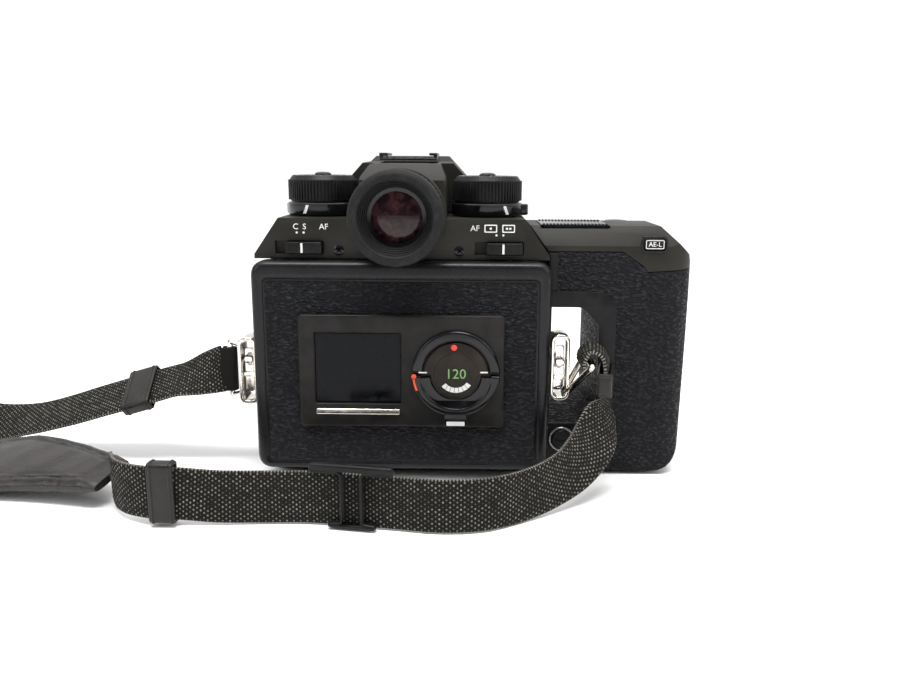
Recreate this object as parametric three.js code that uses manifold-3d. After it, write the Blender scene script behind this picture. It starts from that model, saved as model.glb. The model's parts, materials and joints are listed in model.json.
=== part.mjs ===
// Medium-format reflex camera with a detachable film back, a fixed grip and a neck strap.
// Millimetres. X = 0 on the optical axis, Y = 0 on the film plane with the lens towards +Y,
// Z = 0 on the underside of the base plate.
import * as THREE from 'three';
import { mergeVertices } from 'three/addons/utils/BufferGeometryUtils.js';
import Module from 'manifold-3d';

const wasm = await Module();
wasm.setup();

// ---- driving dimensions ------------------------------------------------------------------
const gap = 0.3;                 // clearance between touching pieces
const running = 0.4;             // clearance round a piece that moves

// Body casting
const bodyHalf = 48.5;
const bodyTop = 75.6;
const bodyBottom = 2.5;
const bodyRear = -20;
const bodyFront = 63;
const axisHeight = 39;
const flangeDistance = 70.9;
const gateHalfWidth = 28;
const gateHalfHeight = 20.8;

// Reflex mirror
const mirrorHingeY = 12;
const mirrorHingeZ = bodyTop - 13.6;
const mirrorLength = 46;
const mirrorThickness = 2;

// Lens and mount
const mountRadius = 35;
const throatRadius = 27;
const barrelRadius = 31;
const lensLength = 38;

// Film back
const backHalf = bodyHalf + 1.5;
const backBottom = 3.5;
const backTop = bodyTop + 0.1;
const filmToRear = 29;
const rimWidth = 4.8;
const backWall = 1.6;
const spoolRadius = 12.2;
const spoolHalfLength = 32.6;
const spoolOffset = 20;
const cheekThickness = 4;

// Memo plate and latch
const memoLeft = -34.4;
const memoRight = 34.6;
const memoBottom = 19.7;
const memoTop = 58.2;
const memoProud = 1.5;
const latchX = 18.4;
const latchRadius = 14.5;
const latchDisc = 10.6;

// Top cover, prism and eyepiece
const deckBottom = bodyTop + 0.4;
const deckTop = deckBottom + 13.5;
const deckHalfBottom = bodyHalf + 0.8;
const deckHalfTop = deckHalfBottom - 8.3;
const deckRear = -24;
const wall = 2;
const neckHalf = 15;
const humpHalf = 28;
const roofHeight = deckTop + 18.5;
const shoeHalf = 10.6;
const shoeRear = 9;
const shoeFront = 29;
const shoeTop = roofHeight + 3;
const eyeHeight = deckTop + 1.5;
const tubeRadius = 12.4;
const tubeBore = 9.2;
const cupRadius = 14.75;
const cupRear = -49;

// Dials
const dialX = 28.6;
const dialY = -6;
const dialRadius = 12;
const dialHeight = 8.5;
const leverHeight = 4.3;
const dialButton = 2.9;

// Grip
const gripStart = deckHalfBottom + gap;
const gripRight = gripStart + 49.4;
const gripRear = -20;
const gripFront = bodyFront - 11;
const gripBottom = 1;
const gripTop = deckTop - 2.5;
const shelfTop = gripTop - 4.8;
const handleLeft = gripStart + 17.8;
const bridgeFront = 30;
const fingerBottom = 18.2;
const fingerTop = 59.8;
const seamHeight = deckBottom + 2.4;
const shutterX = gripRight - 20;
const shutterY = 26;

// Strap
const strapWidth = 16.5;
const strapThickness = 1.6;
const padWidth = 34;
const padThickness = 5;
const lugY = -15;
const lugZ = 40;

// ---- helpers -----------------------------------------------------------------------------
function solid(geometry) {
  geometry.deleteAttribute('normal');
  geometry.deleteAttribute('uv');
  const merged = mergeVertices(geometry, 1e-4);
  return new wasm.Manifold(new wasm.Mesh({
    numProp: 3,
    vertProperties: new Float32Array(merged.attributes.position.array),
    triVerts: new Uint32Array(merged.index.array),
  }));
}

function geometryOf(manifold) {
  const mesh = manifold.getMesh();
  const geometry = new THREE.BufferGeometry();
  geometry.setAttribute('position', new THREE.BufferAttribute(mesh.vertProperties, 3));
  geometry.setIndex(new THREE.BufferAttribute(mesh.triVerts, 1));
  geometry.computeVertexNormals();
  return geometry;
}

// Axis-aligned block between two corners.
function block(x0, x1, y0, y1, z0, z1) {
  const box = new THREE.BoxGeometry(x1 - x0, y1 - y0, z1 - z0);
  box.translate((x0 + x1) / 2, (y0 + y1) / 2, (z0 + z1) / 2);
  return solid(box);
}

function shapeOf(outline) {
  if (outline instanceof THREE.Shape) return outline;
  return new THREE.Shape(outline.map(([a, b]) => new THREE.Vector2(a, b)));
}

function extrusion(outline, depth, curveSegments = 4) {
  return new THREE.ExtrudeGeometry(shapeOf(outline), { depth, bevelEnabled: false, curveSegments });
}

// Outline in X-Y, pushed along Z.
function slabZ(outline, z0, z1, curveSegments) {
  return solid(extrusion(outline, z1 - z0, curveSegments).translate(0, 0, z0));
}

// Outline in X-Z, pushed along Y.
function slabY(outline, y0, y1, curveSegments) {
  return solid(extrusion(outline, y1 - y0, curveSegments).rotateX(Math.PI / 2).translate(0, y1, 0));
}

// Outline in Y-Z, pushed along X.
function slabX(outline, x0, x1, curveSegments) {
  const geometry = extrusion(outline, x1 - x0, curveSegments);
  return solid(geometry.rotateX(Math.PI / 2).rotateZ(Math.PI / 2).translate(x0, 0, 0));
}

// Rectangle with round corners.
function roundedRect(x0, x1, y0, y1, r) {
  const shape = new THREE.Shape();
  shape.absarc(x1 - r, y0 + r, r, -Math.PI / 2, 0);
  shape.absarc(x1 - r, y1 - r, r, 0, Math.PI / 2);
  shape.absarc(x0 + r, y1 - r, r, Math.PI / 2, Math.PI);
  shape.absarc(x0 + r, y0 + r, r, Math.PI, 1.5 * Math.PI);
  shape.closePath();
  return shape;
}

// Turned piece: profile points are [radius, height], counterclockwise; the axis is 'x', 'y' or 'z'.
function turned(profile, axis, segments = 28) {
  const points = profile.map(([r, h]) => new THREE.Vector2(r, h));
  const geometry = new THREE.LatheGeometry(points, segments);
  if (axis === 'z') geometry.rotateX(Math.PI / 2);
  if (axis === 'x') geometry.rotateZ(-Math.PI / 2);
  return solid(geometry);
}

function disc(radius, h0, h1, axis, segments) {
  return turned([[0, h0], [radius, h0], [radius, h1], [0, h1]], axis, segments);
}

function ring(inner, outer, h0, h1, axis, segments) {
  return turned([[inner, h0], [outer, h0], [outer, h1], [inner, h1], [inner, h0]], axis, segments);
}

const camera = new THREE.Group();

function place(parent, name, manifold, color, roughness, metalness, position = [0, 0, 0]) {
  const material = new THREE.MeshStandardMaterial({ color, roughness, metalness });
  const mesh = new THREE.Mesh(geometryOf(manifold), material);
  mesh.name = name;
  mesh.position.set(...position);
  parent.add(mesh);
}

const paint = 0x2e2d29;
const blackPlastic = 0x17171a;
const leather = 0x1c1d22;
const rubber = 0x222224;
const nickel = 0xcfc8bd;
const steel = 0x8d8f92;
const glass = 0x30262b;
const cloth = 0x1b1b1d;

// ---- body --------------------------------------------------------------------------------
const socketOuter = 8;
const socketY = 30;
const chamberHalf = spoolHalfLength + cheekThickness + 1.8;
const chamberBottom = axisHeight - spoolOffset - spoolRadius - 0.8;
const chamberTop = axisHeight + spoolOffset + spoolRadius + 0.8;
const mirrorBoxHalf = 29;
const mirrorBoxBottom = 13;
const screenHalf = 28;
const screenRear = 14;
const screenFront = bodyFront - 7;
const screenTop = bodyTop - 0.4;
const screenThickness = 2.2;
const prismHalf = 24;
const prismRear = 15;
const shutterRear = 3;

const releaseRadius = 4.2;
const releaseDepth = 1.6;
const releaseX = mountRadius + 6;
const releaseZ = axisHeight - 12;

function bodyShell() {
  const outline = roundedRect(-bodyHalf, bodyHalf, bodyBottom, bodyTop, 5);
  let shell = slabY(outline, bodyRear, bodyFront);
  const chamber = block(-chamberHalf, chamberHalf, bodyRear - 1, 0.6, chamberBottom, chamberTop);
  const gateBottom = axisHeight - gateHalfHeight;
  const gateTop = axisHeight + gateHalfHeight;
  const gate = block(-gateHalfWidth, gateHalfWidth, 0, 10, gateBottom, gateTop);
  const pocket = block(-mirrorBoxHalf, mirrorBoxHalf, shutterRear, 10, gateBottom - 4, gateTop + 4);
  const boxTop = screenTop - screenThickness - 2.6;
  const box = block(-mirrorBoxHalf, mirrorBoxHalf, 8, bodyFront - 3, mirrorBoxBottom, boxTop);
  const throat = disc(throatRadius, bodyFront - 4, bodyFront + 1, 'y').translate(0, 0, axisHeight);
  const ledge = screenHalf - 2;
  const light = block(-ledge, ledge, screenRear + 2, screenFront - 2, boxTop - 1, bodyTop + 1);
  const rebate = block(-screenHalf - gap, screenHalf + gap, screenRear - gap, screenFront + gap,
    screenTop - screenThickness - gap, bodyTop + 1);
  const socketPocket = disc(socketOuter + gap, bodyBottom - 1, 8, 'z').translate(0, socketY, 0);
  const releaseWell = disc(releaseRadius + running, bodyFront - releaseDepth, bodyFront + 1, 'y')
    .translate(releaseX, 0, releaseZ);
  for (const cut of [chamber, gate, pocket, box, throat, light, rebate, socketPocket, releaseWell]) {
    shell = shell.subtract(cut);
  }
  return shell;
}

function basePlate() {
  const half = bodyHalf - 1;
  const plate = slabZ(roundedRect(-half, half, bodyRear + 1, bodyFront - 1, 6), 0, bodyBottom - gap);
  return plate.subtract(disc(socketOuter + gap, -1, bodyBottom, 'z').translate(0, socketY, 0));
}

function shutterFrame() {
  const halfHeight = gateHalfHeight + 3.6;
  const plate = block(-mirrorBoxHalf + gap, mirrorBoxHalf - gap, shutterRear + gap, shutterRear + 2.2,
    axisHeight - halfHeight, axisHeight + halfHeight);
  return plate.subtract(block(-gateHalfWidth, gateHalfWidth, 0, 10,
    axisHeight - gateHalfHeight, axisHeight + gateHalfHeight));
}

function mirror() {
  const plate = block(-26, 26, 0, mirrorLength, -mirrorThickness / 2, mirrorThickness / 2);
  const barrel = disc(1.6, -28.4, 28.4, 'x', 12);
  return plate.add(barrel).rotate([-45, 0, 0]).translate(0, mirrorHingeY, mirrorHingeZ);
}

function pentaprism() {
  const front = screenFront - 2;
  const seat = deckBottom + 0.5;
  const side = slabX([[prismRear, seat], [front - 1, seat], [front, seat + 7.5], [front - 14, seat + 24.5],
    [prismRear + 11, seat + 26.5], [prismRear, seat + 21.5]], -prismHalf, prismHalf);
  const face = slabY([[-prismHalf, deckBottom], [prismHalf, deckBottom], [prismHalf - 2, seat + 8.5],
    [5, seat + 27], [-5, seat + 27], [-prismHalf + 2, seat + 8.5]], prismRear - 1, front + 1);
  return side.intersect(face);
}

const casting = bodyShell();
const aroundCasting = bodyHalf + 10;
place(camera, 'body_shell',
  casting.intersect(block(-aroundCasting, aroundCasting, shutterRear, bodyFront, 0, bodyTop)),
  blackPlastic, 0.5, 0.1);
place(camera, 'film_chamber',
  casting.intersect(block(-aroundCasting, aroundCasting, bodyRear, shutterRear - gap, 0, bodyTop)),
  blackPlastic, 0.5, 0.1);
place(camera, 'base_plate', basePlate(), blackPlastic, 0.4, 0.6);
place(camera, 'tripod_socket', ring(4.8, socketOuter, 0, 7, 'z'), steel, 0.3, 1, [0, socketY, 0]);
place(camera, 'shutter_frame', shutterFrame(), 0x151515, 0.6, 0.4);
place(camera, 'shutter_curtain',
  block(-mirrorBoxHalf + 0.5, mirrorBoxHalf - 0.5, shutterRear + 2.5, shutterRear + 3,
    axisHeight - gateHalfHeight - 3, axisHeight + gateHalfHeight + 3), 0x101010, 0.9, 0);
place(camera, 'reflex_mirror', mirror(), 0xaeb4b8, 0.05, 1);
place(camera, 'focusing_screen',
  block(-screenHalf, screenHalf, screenRear, screenFront, screenTop - screenThickness, screenTop),
  0xc9cdc8, 0.6, 0);
place(camera, 'pentaprism', pentaprism(), 0xbfc6cc, 0.05, 0);

// ---- lens --------------------------------------------------------------------------------
const lens = new THREE.Group();
lens.position.set(0, 0, axisHeight);
camera.add(lens);
const lensRear = flangeDistance + gap;
const lensFront = lensRear + lensLength;
const ringSplit = lensRear + 11;
const noseStart = lensFront - 9;

function lensBarrel() {
  const bore = barrelRadius - 8;
  const bayonet = throatRadius - 1;
  return turned([[bore, lensRear - 6], [bayonet, lensRear - 6], [bayonet, lensRear],
    [barrelRadius + 3.5, lensRear], [barrelRadius + 3.5, lensRear + 3], [barrelRadius, lensRear + 3],
    [barrelRadius, noseStart], [barrelRadius + 3, noseStart], [barrelRadius + 3, lensFront],
    [barrelRadius - 3, lensFront], [bore, lensFront - 6], [bore, lensRear - 6]], 'y', 36);
}

place(lens, 'lens_mount_ring', ring(throatRadius, mountRadius, bodyFront + gap, flangeDistance, 'y', 36),
  steel, 0.25, 1);
place(lens, 'lens_barrel', lensBarrel(), blackPlastic, 0.4, 0.5);
place(lens, 'aperture_ring',
  ring(barrelRadius + running, barrelRadius + 3.5, lensRear + 3.4, ringSplit - 0.2, 'y', 36),
  0x1a1a1c, 0.45, 0.4);
place(lens, 'focus_ring',
  ring(barrelRadius + running, barrelRadius + 4.2, ringSplit + 0.2, noseStart - running, 'y', 36),
  rubber, 0.85, 0);
const glassRadius = barrelRadius - 8 - gap;
place(lens, 'lens_front_glass',
  turned([[0, lensFront - 14], [glassRadius, lensFront - 12], [glassRadius, lensFront - 9],
    [glassRadius * 0.6, lensFront - 6.6], [0, lensFront - 5.6]], 'y'), 0x2b3442, 0.03, 0);
place(lens, 'lens_rear_glass',
  turned([[0, lensRear - 4.5], [glassRadius * 0.7, lensRear - 3.6], [glassRadius, lensRear - 1.5],
    [glassRadius, lensRear + 2], [0, lensRear + 2.5]], 'y'), 0x2b3442, 0.03, 0);
place(camera, 'lens_release_button',
  disc(releaseRadius, bodyFront - releaseDepth + 1.2, bodyFront + 4, 'y', 20),
  blackPlastic, 0.4, 0.3, [releaseX, 0, releaseZ]);

// ---- top cover, prism cover, eyepiece ----------------------------------------------------
const switchHeight = 4.4;
const switchBottom = deckBottom + 1.6;
const switchDepth = 1.8;
const switchWidth = 12;
const switchTravel = 3.4;
const switchCentres = { af_mode_switch: -34.05, af_area_switch: 32.5 };

function deckOutline(inset) {
  return [[-deckHalfBottom + inset, deckBottom], [deckHalfBottom - inset, deckBottom],
    [deckHalfBottom - inset, deckBottom + 1.5], [deckHalfTop - inset, deckTop - inset],
    [-deckHalfTop + inset, deckTop - inset], [-deckHalfBottom + inset, deckBottom + 1.5]];
}

function topCover() {
  let cover = slabY(deckOutline(0), deckRear, bodyFront - 1);
  cover = cover.subtract(slabY(deckOutline(wall + 1), deckRear + wall + 2, bodyFront - 1 - wall)
    .translate(0, 0, -0.5));
  const opening = screenHalf - 2;
  cover = cover.subtract(block(-opening, opening, 12, screenFront + 1, bodyTop - 5, deckTop + 1));
  for (const centre of Object.values(switchCentres)) {
    const half = (switchWidth + switchTravel) / 2 + running;
    cover = cover.subtract(block(centre - half, centre + half, deckRear - 1, deckRear + switchDepth,
      switchBottom, switchBottom + switchHeight));
  }
  return cover;
}

function prismCover() {
  const seat = deckTop + gap;
  const shoulder = deckTop + 7.5;
  const crown = roofHeight + 2.2;
  const neckRear = deckRear + 2;
  const humpFront = screenFront - 1.5;
  const humpRear = 8;
  const side = [[neckRear, seat], [humpFront, seat], [humpFront, shoulder - 1],
    [humpFront - 9.5, crown - 0.2], [shoeFront + 4, crown - 0.2], [shoeFront + 1, roofHeight],
    [humpRear - 16, roofHeight - 1], [neckRear, roofHeight - 6]];
  const hump = [[-humpHalf, seat], [humpHalf, seat], [humpHalf - 2, shoulder], [humpHalf / 2, crown],
    [-humpHalf / 2, crown], [-humpHalf + 2, shoulder]];
  const neck = [[-neckHalf, seat], [neckHalf, seat], [neckHalf - 1, roofHeight - 5], [shoeHalf, crown],
    [-shoeHalf, crown], [-neckHalf + 1, roofHeight - 5]];
  const outer = slabY(hump, humpRear, humpFront + 0.5).add(slabY(neck, neckRear - 1, humpRear + 1))
    .intersect(slabX(side, -40, 40));
  const skin = wall + 0.4;
  const humpInner = humpHalf - skin;
  const ceilingHeight = crown - 4.2;
  const inner = slabY([[-humpInner, seat - 1], [humpInner, seat - 1], [humpHalf - 4, shoulder - 0.5],
    [12, ceilingHeight], [-12, ceilingHeight], [4 - humpHalf, shoulder - 0.5]], 10, humpFront - 2.5)
    .add(slabY([[2 - neckHalf, seat - 1], [neckHalf - 2, seat - 1], [neckHalf - 2.6, roofHeight - 5.6],
      [8, ceilingHeight - 1], [-8, ceilingHeight - 1], [2.6 - neckHalf, roofHeight - 5.6]],
    neckRear + 1, 11));
  const ceiling = slabX([[neckRear + 2, seat - 2], [humpFront - 1.9, seat - 2],
    [humpFront - 1.9, shoulder - 1.6], [humpFront - 9.5, ceilingHeight],
    [neckRear + 15, ceilingHeight - 1], [neckRear + 2, roofHeight - 7.4]], -40, 40);
  return outer.subtract(inner.intersect(ceiling));
}

function hotShoe() {
  const floor = roofHeight + gap;
  const base = block(-shoeHalf, shoeHalf, shoeRear, shoeFront, floor, floor + 0.8);
  const rails = [-1, 1].map((side) => {
    const outer = side * shoeHalf;
    const post = block(Math.min(outer, outer - side * 1.4), Math.max(outer, outer - side * 1.4),
      shoeRear, shoeFront, floor, shoeTop);
    const lip = block(Math.min(outer, outer - side * 3), Math.max(outer, outer - side * 3),
      shoeRear, shoeFront, shoeTop - 0.9, shoeTop);
    return post.add(lip);
  });
  const pad = block(-4, 4, shoeRear + 4, shoeFront - 4, floor + 0.4, floor + 1.1);
  return base.add(rails[0]).add(rails[1]).add(pad);
}

place(camera, 'top_cover', topCover(), paint, 0.6, 0.1);
place(camera, 'prism_cover', prismCover(), paint, 0.6, 0.1);
place(camera, 'hot_shoe', hotShoe(), steel, 0.35, 1);
for (const [name, centre] of Object.entries(switchCentres)) {
  const rest = centre + switchTravel / 2;
  place(camera, name, block(-switchWidth / 2, switchWidth / 2, deckRear - 2.4,
    deckRear + switchDepth - gap, switchBottom + running, switchBottom + switchHeight - running),
  blackPlastic, 0.4, 0, [rest, 0, 0]);
}

const eye = new THREE.Group();
eye.position.set(0, 0, eyeHeight);
camera.add(eye);
const tubeRear = cupRear + 10;
place(eye, 'eyepiece_tube', ring(tubeBore, tubeRadius, tubeRear, deckRear - gap, 'y'), paint, 0.5, 0.2);
place(eye, 'diopter_ring',
  ring(tubeRadius + running, tubeRadius + 2, tubeRear + 3, tubeRear + 10, 'y'), rubber, 0.7, 0);
place(eye, 'eyecup', turned([[tubeBore, tubeRear - gap], [tubeBore, cupRear + 3.5],
  [tubeBore + 3.4, cupRear], [cupRadius - 0.8, cupRear], [cupRadius, cupRear + 1],
  [cupRadius, tubeRear - gap], [tubeBore, tubeRear - gap]], 'y', 32), rubber, 0.8, 0);
place(eye, 'eyepiece_lens', turned([[0, tubeRear - 1], [tubeBore - gap, tubeRear + 0.6],
  [tubeBore - gap, tubeRear + 3], [0, tubeRear + 4]], 'y'), glass, 0.05, 0);

// ---- dials -------------------------------------------------------------------------------
function dialTower(side, dialName, leverName, buttonName) {
  const tower = new THREE.Group();
  tower.position.set(side * dialX, dialY, deckTop + gap);
  camera.add(tower);
  const shaft = 3.6;
  const dialBase = leverHeight + 0.6;
  const dialTop = dialBase + dialHeight;
  const outer = dialRadius;
  const dial = turned([[0, 0], [shaft, 0], [shaft, dialBase], [outer - 0.8, dialBase],
    [outer, dialBase + 0.6], [outer, dialTop - 0.9], [outer - 1.2, dialTop],
    [dialButton + running, dialTop], [dialButton + running, dialTop - 5], [0, dialTop - 5]], 'z', 36);
  place(tower, dialName, dial, blackPlastic, 0.55, 0.1);
  const sleeve = ring(shaft + running, dialRadius + 0.3, 0, leverHeight, 'z');
  const tabRoot = dialRadius - 3;
  const tab = slabZ([[tabRoot, -3.4], [dialRadius + 2.4, 0], [tabRoot, 3.4]], 0, leverHeight - 1)
    .rotate([0, 0, side > 0 ? 0 : 180]);
  place(tower, leverName, sleeve.add(tab), blackPlastic, 0.25, 0.1);
  const button = disc(dialButton, dialTop - 3.4, dialTop + 1.1, 'z', 20);
  place(tower, buttonName, button, steel, 0.4, 0.6);
}

dialTower(-1, 'exposure_dial', 'drive_lever', 'exposure_lock_button');
dialTower(1, 'shutter_speed_dial', 'metering_lever', 'speed_lock_button');

// ---- grip --------------------------------------------------------------------------------
// Plan view shared by the grip and its cover: bridges beside the body, then the deeper handle.
function gripPlan(inset) {
  const r = 9;
  const right = gripRight - inset;
  const rear = gripRear + inset;
  const front = gripFront - inset;
  const shape = new THREE.Shape();
  shape.moveTo(gripStart - 10, rear);
  shape.lineTo(right - r, rear);
  shape.absarc(right - r, rear + r, r, -Math.PI / 2, 0);
  shape.absarc(right - 1.6 * r, front - 1.6 * r, 1.6 * r, 0, Math.PI / 2);
  shape.lineTo(handleLeft + 6 + inset, front);
  shape.lineTo(handleLeft + inset, bridgeFront - inset);
  shape.lineTo(gripStart - 10, bridgeFront - inset);
  shape.closePath();
  return shape;
}

function seamOutline(offset) {
  return [[gripStart, seamHeight + offset], [handleLeft + 7, seamHeight + offset],
    [handleLeft + 14.2, seamHeight - 4.9 + offset],
    [handleLeft + 15.6, seamHeight - 6.8 + offset], [gripRight, seamHeight - 5.8 + offset]];
}

function gripShell() {
  const corner = 9;
  const outline = new THREE.Shape();
  outline.moveTo(gripStart, gripBottom);
  outline.lineTo(gripRight - 2 - corner, gripBottom);
  outline.absarc(gripRight - 2 - corner, gripBottom + corner, corner, -Math.PI / 2, 0);
  for (const [x, z] of seamOutline(0).reverse()) outline.lineTo(x, z);
  outline.lineTo(gripStart, fingerTop);
  outline.absarc(handleLeft - 6, fingerTop - 6, 6, Math.PI / 2, 0, true);
  outline.absarc(handleLeft - 2, fingerBottom + 2, 2, 0, -Math.PI / 2, true);
  outline.lineTo(gripStart, fingerBottom);
  outline.closePath();
  const shell = slabY(outline, gripRear, gripFront).intersect(slabZ(gripPlan(0), gripBottom, 80, 6));
  const hollow = slabZ(gripPlan(3), gripBottom + 3, 80, 6)
    .intersect(slabY(roundedRect(handleLeft + 3, gripRight - 3, gripBottom + 3, 90, 7.5), gripRear,
      gripFront));
  return shell.subtract(hollow);
}

const lcdLeft = gripStart - 2.6;
const lcdRight = lcdLeft + 23;
const rearButtonLeft = gripRight - 17.8;
const rearButtonRight = rearButtonLeft + 7.2;

function gripTopCover() {
  const endLine = (z) => deckHalfBottom - (deckHalfBottom - deckHalfTop)
    * (z - deckBottom - 1.5) / (deckTop - deckBottom - 1.5) + 0.5;
  const outline = [...seamOutline(gap), [gripRight - 1.3, gripTop - 9.5], [gripRight - 11.6, gripTop],
    [endLine(gripTop), gripTop], [endLine(seamHeight + gap) + 0.3, seamHeight + gap]];
  const side = [[gripRear - 1, 60], [gripFront + 1, 60], [gripFront + 1, shelfTop - 7.2],
    [gripFront - 7, shelfTop],
    [15, shelfTop], [11, gripTop + 1], [gripRear + 5, gripTop + 1], [gripRear, gripTop - 6.5],
    [gripRear - 1, gripTop - 8]];
  const cover = slabY(outline, gripRear, gripFront)
    .intersect(slabZ(gripPlan(0), 60, gripTop + 3, 6)).intersect(slabX(side, 40, 110));
  const hollowLeft = handleLeft + 3;
  const hollowRight = gripRight - 15;
  const hollow = block(hollowLeft, hollowRight, gripRear + 7, 9, 60, gripTop - wall)
    .add(block(hollowLeft, hollowRight, gripRear + 7, gripFront - 10, 60, shelfTop - wall));
  const well = disc(4.6 + running, shelfTop - 5, shelfTop + 1, 'z').translate(shutterX, shutterY, 0);
  const lcdSeat = block(lcdLeft - gap, lcdRight + gap, -16.3, 8.3, gripTop - 1, gripTop + 1);
  const rearPocket = block(rearButtonLeft - gap, rearButtonRight + gap, gripRear - 1, gripRear + 4.2,
    gripTop - 8.1, gripTop - 3.5);
  return cover.subtract(hollow).subtract(well).subtract(lcdSeat).subtract(rearPocket);
}

function batteryHolder() {
  const cells = [0, 1, 2].map((i) => disc(7.2, 8, 58, 'z', 16)
    .translate(gripRight - 12.5, -6 + 15 * i, 0));
  const tray = block(handleLeft + 4, gripRight - 14, gripRear + 5.5, bridgeFront - 4, 8, 58);
  return cells.reduce((all, cell) => all.add(cell), tray);
}

place(camera, 'grip_shell', gripShell(), leather, 0.6, 0);
place(camera, 'grip_top_cover', gripTopCover(), paint, 0.6, 0.1);
place(camera, 'lcd_window', block(lcdLeft, lcdRight, -16, 8, gripTop - 0.7, gripTop + 0.4),
  0x0b0d10, 0.1, 0);
place(camera, 'main_switch_ring', ring(4.6 + running, 9.5, shelfTop + gap, shelfTop + 3, 'z'),
  blackPlastic, 0.35, 0.1, [shutterX, shutterY, 0]);
place(camera, 'shutter_button', disc(4.6, shelfTop - 3.5, shelfTop + 4, 'z', 24), 0x1d1d1f, 0.3, 0.2,
  [shutterX, shutterY, 0]);
place(camera, 'ael_button', block(rearButtonLeft, rearButtonRight, gripRear - 0.6, gripRear + 3,
  gripTop - 7.7, gripTop - 3.9), blackPlastic, 0.3, 0.1);
place(camera, 'battery_holder', batteryHolder(), 0x2a2a2c, 0.6, 0);
place(camera, 'battery_lock_knob', disc(3.6, gripRear - 2.4, gripRear - gap, 'y', 24), blackPlastic,
  0.3, 0.3, [gripStart + 5.9, 0, 12.7]);

// ---- film back ---------------------------------------------------------------------------
const backRear = -filmToRear;
const backFace = backRear + 1;
const leatherHalf = backHalf - rimWidth;
const leatherBottom = backBottom + 3.8;
const leatherTop = backTop - 6.8;
const latchZ = (memoBottom + memoTop) / 2 - 0.45;

function backCover() {
  const edge = bodyRear - gap;
  let cover = slabY(roundedRect(-backHalf, backHalf, backBottom, backTop, 5.5), backRear + 1.4, edge);
  const rim = roundedRect(-backHalf + 1.4, backHalf - 1.4, backBottom + 1.4, backTop - 1.4, 4.4);
  cover = cover.add(slabY(rim, backRear, edge));
  cover = cover.subtract(block(-leatherHalf - gap, leatherHalf + gap, backRear - 1, backFace,
    leatherBottom - gap, leatherTop + gap));
  cover = cover.subtract(block(-chamberHalf, chamberHalf, backFace + backWall, edge + 1,
    chamberBottom, chamberTop));
  return cover.subtract(disc(3 + running, backRear - 2, edge, 'y').translate(latchX, 0, latchZ));
}

function backLeather() {
  const skin = block(-leatherHalf, leatherHalf, backRear, backFace - gap, leatherBottom, leatherTop);
  return skin.subtract(block(memoLeft - gap, memoRight + gap, backRear - 1, backFace,
    memoBottom - gap, memoTop + gap));
}

function memoPlate() {
  const face = backRear - memoProud;
  let plate = slabY(roundedRect(memoLeft, memoRight, memoBottom, memoTop, 1), face, backFace - gap);
  plate = plate.subtract(block(-28.9, -0.1, face - 1, face + 0.8, 27.8, 52));
  return plate.subtract(disc(3 + running, backRear - 5, backFace + 1, 'y').translate(latchX, 0, latchZ));
}

function latchDiscPiece() {
  const face = backRear - memoProud;
  const hub = disc(latchDisc, -1.6, -gap, 'y').add(disc(3, -1, backFace + 6 - face, 'y', 16));
  const half = new THREE.Shape();
  half.absarc(0, 0, latchRadius, 0.13, Math.PI - 0.13);
  half.lineTo(-6, 1);
  half.lineTo(6, 1);
  half.closePath();
  return hub.add(slabY(half, -1.6, -gap, 16));
}

function latchBail() {
  const bail = new THREE.Shape();
  bail.absarc(0, 0, latchRadius, Math.PI + 0.03, 2 * Math.PI - 0.03);
  bail.absarc(0, 0, latchDisc + running, 2 * Math.PI - 0.03, Math.PI + 0.03, true);
  bail.closePath();
  const tab = block(-3.1, 3.1, -1.6, -gap, -latchRadius - 2.4, -latchRadius + 1);
  return slabY(bail, -1.6, -gap, 16).add(tab);
}

const spoolCentreY = backFace + backWall + gap + spoolRadius + 0.4;

function insertFrame() {
  const rear = backFace + backWall + gap;
  const bottom = axisHeight - spoolOffset - 9;
  const top = axisHeight + spoolOffset + 9;
  const front = -1.9;
  let frame = block(-spoolHalfLength - 1, spoolHalfLength + 1, front - 1.6, front,
    axisHeight - 5, axisHeight + 5);
  frame = frame.add(block(-spoolHalfLength - 1, spoolHalfLength + 1, rear, rear + 1.6,
    axisHeight - 6, axisHeight + 6));
  for (const side of [-1, 1]) {
    const inner = side * (spoolHalfLength + 0.6);
    const outer = side * (spoolHalfLength + cheekThickness);
    frame = frame.add(block(Math.min(inner, outer), Math.max(inner, outer), rear, front, bottom, top));
  }
  for (const offset of [-spoolOffset, spoolOffset]) {
    frame = frame.subtract(disc(3.4 + running, -60, 60, 'x', 16)
      .translate(0, spoolCentreY, axisHeight + offset));
  }
  return frame.subtract(disc(3 + running, -40, -10, 'y', 16).translate(latchX, 0, latchZ));
}

function spool() {
  const half = spoolHalfLength;
  return turned([[0, -half - 2.6], [3.4, -half - 2.6], [3.4, -half], [spoolRadius, -half],
    [spoolRadius, -half + 1], [5.8, -half + 1], [5.8, half - 1], [spoolRadius, half - 1],
    [spoolRadius, half], [3.4, half], [3.4, half + 2.6], [0, half + 2.6]], 'x', 24);
}

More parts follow.
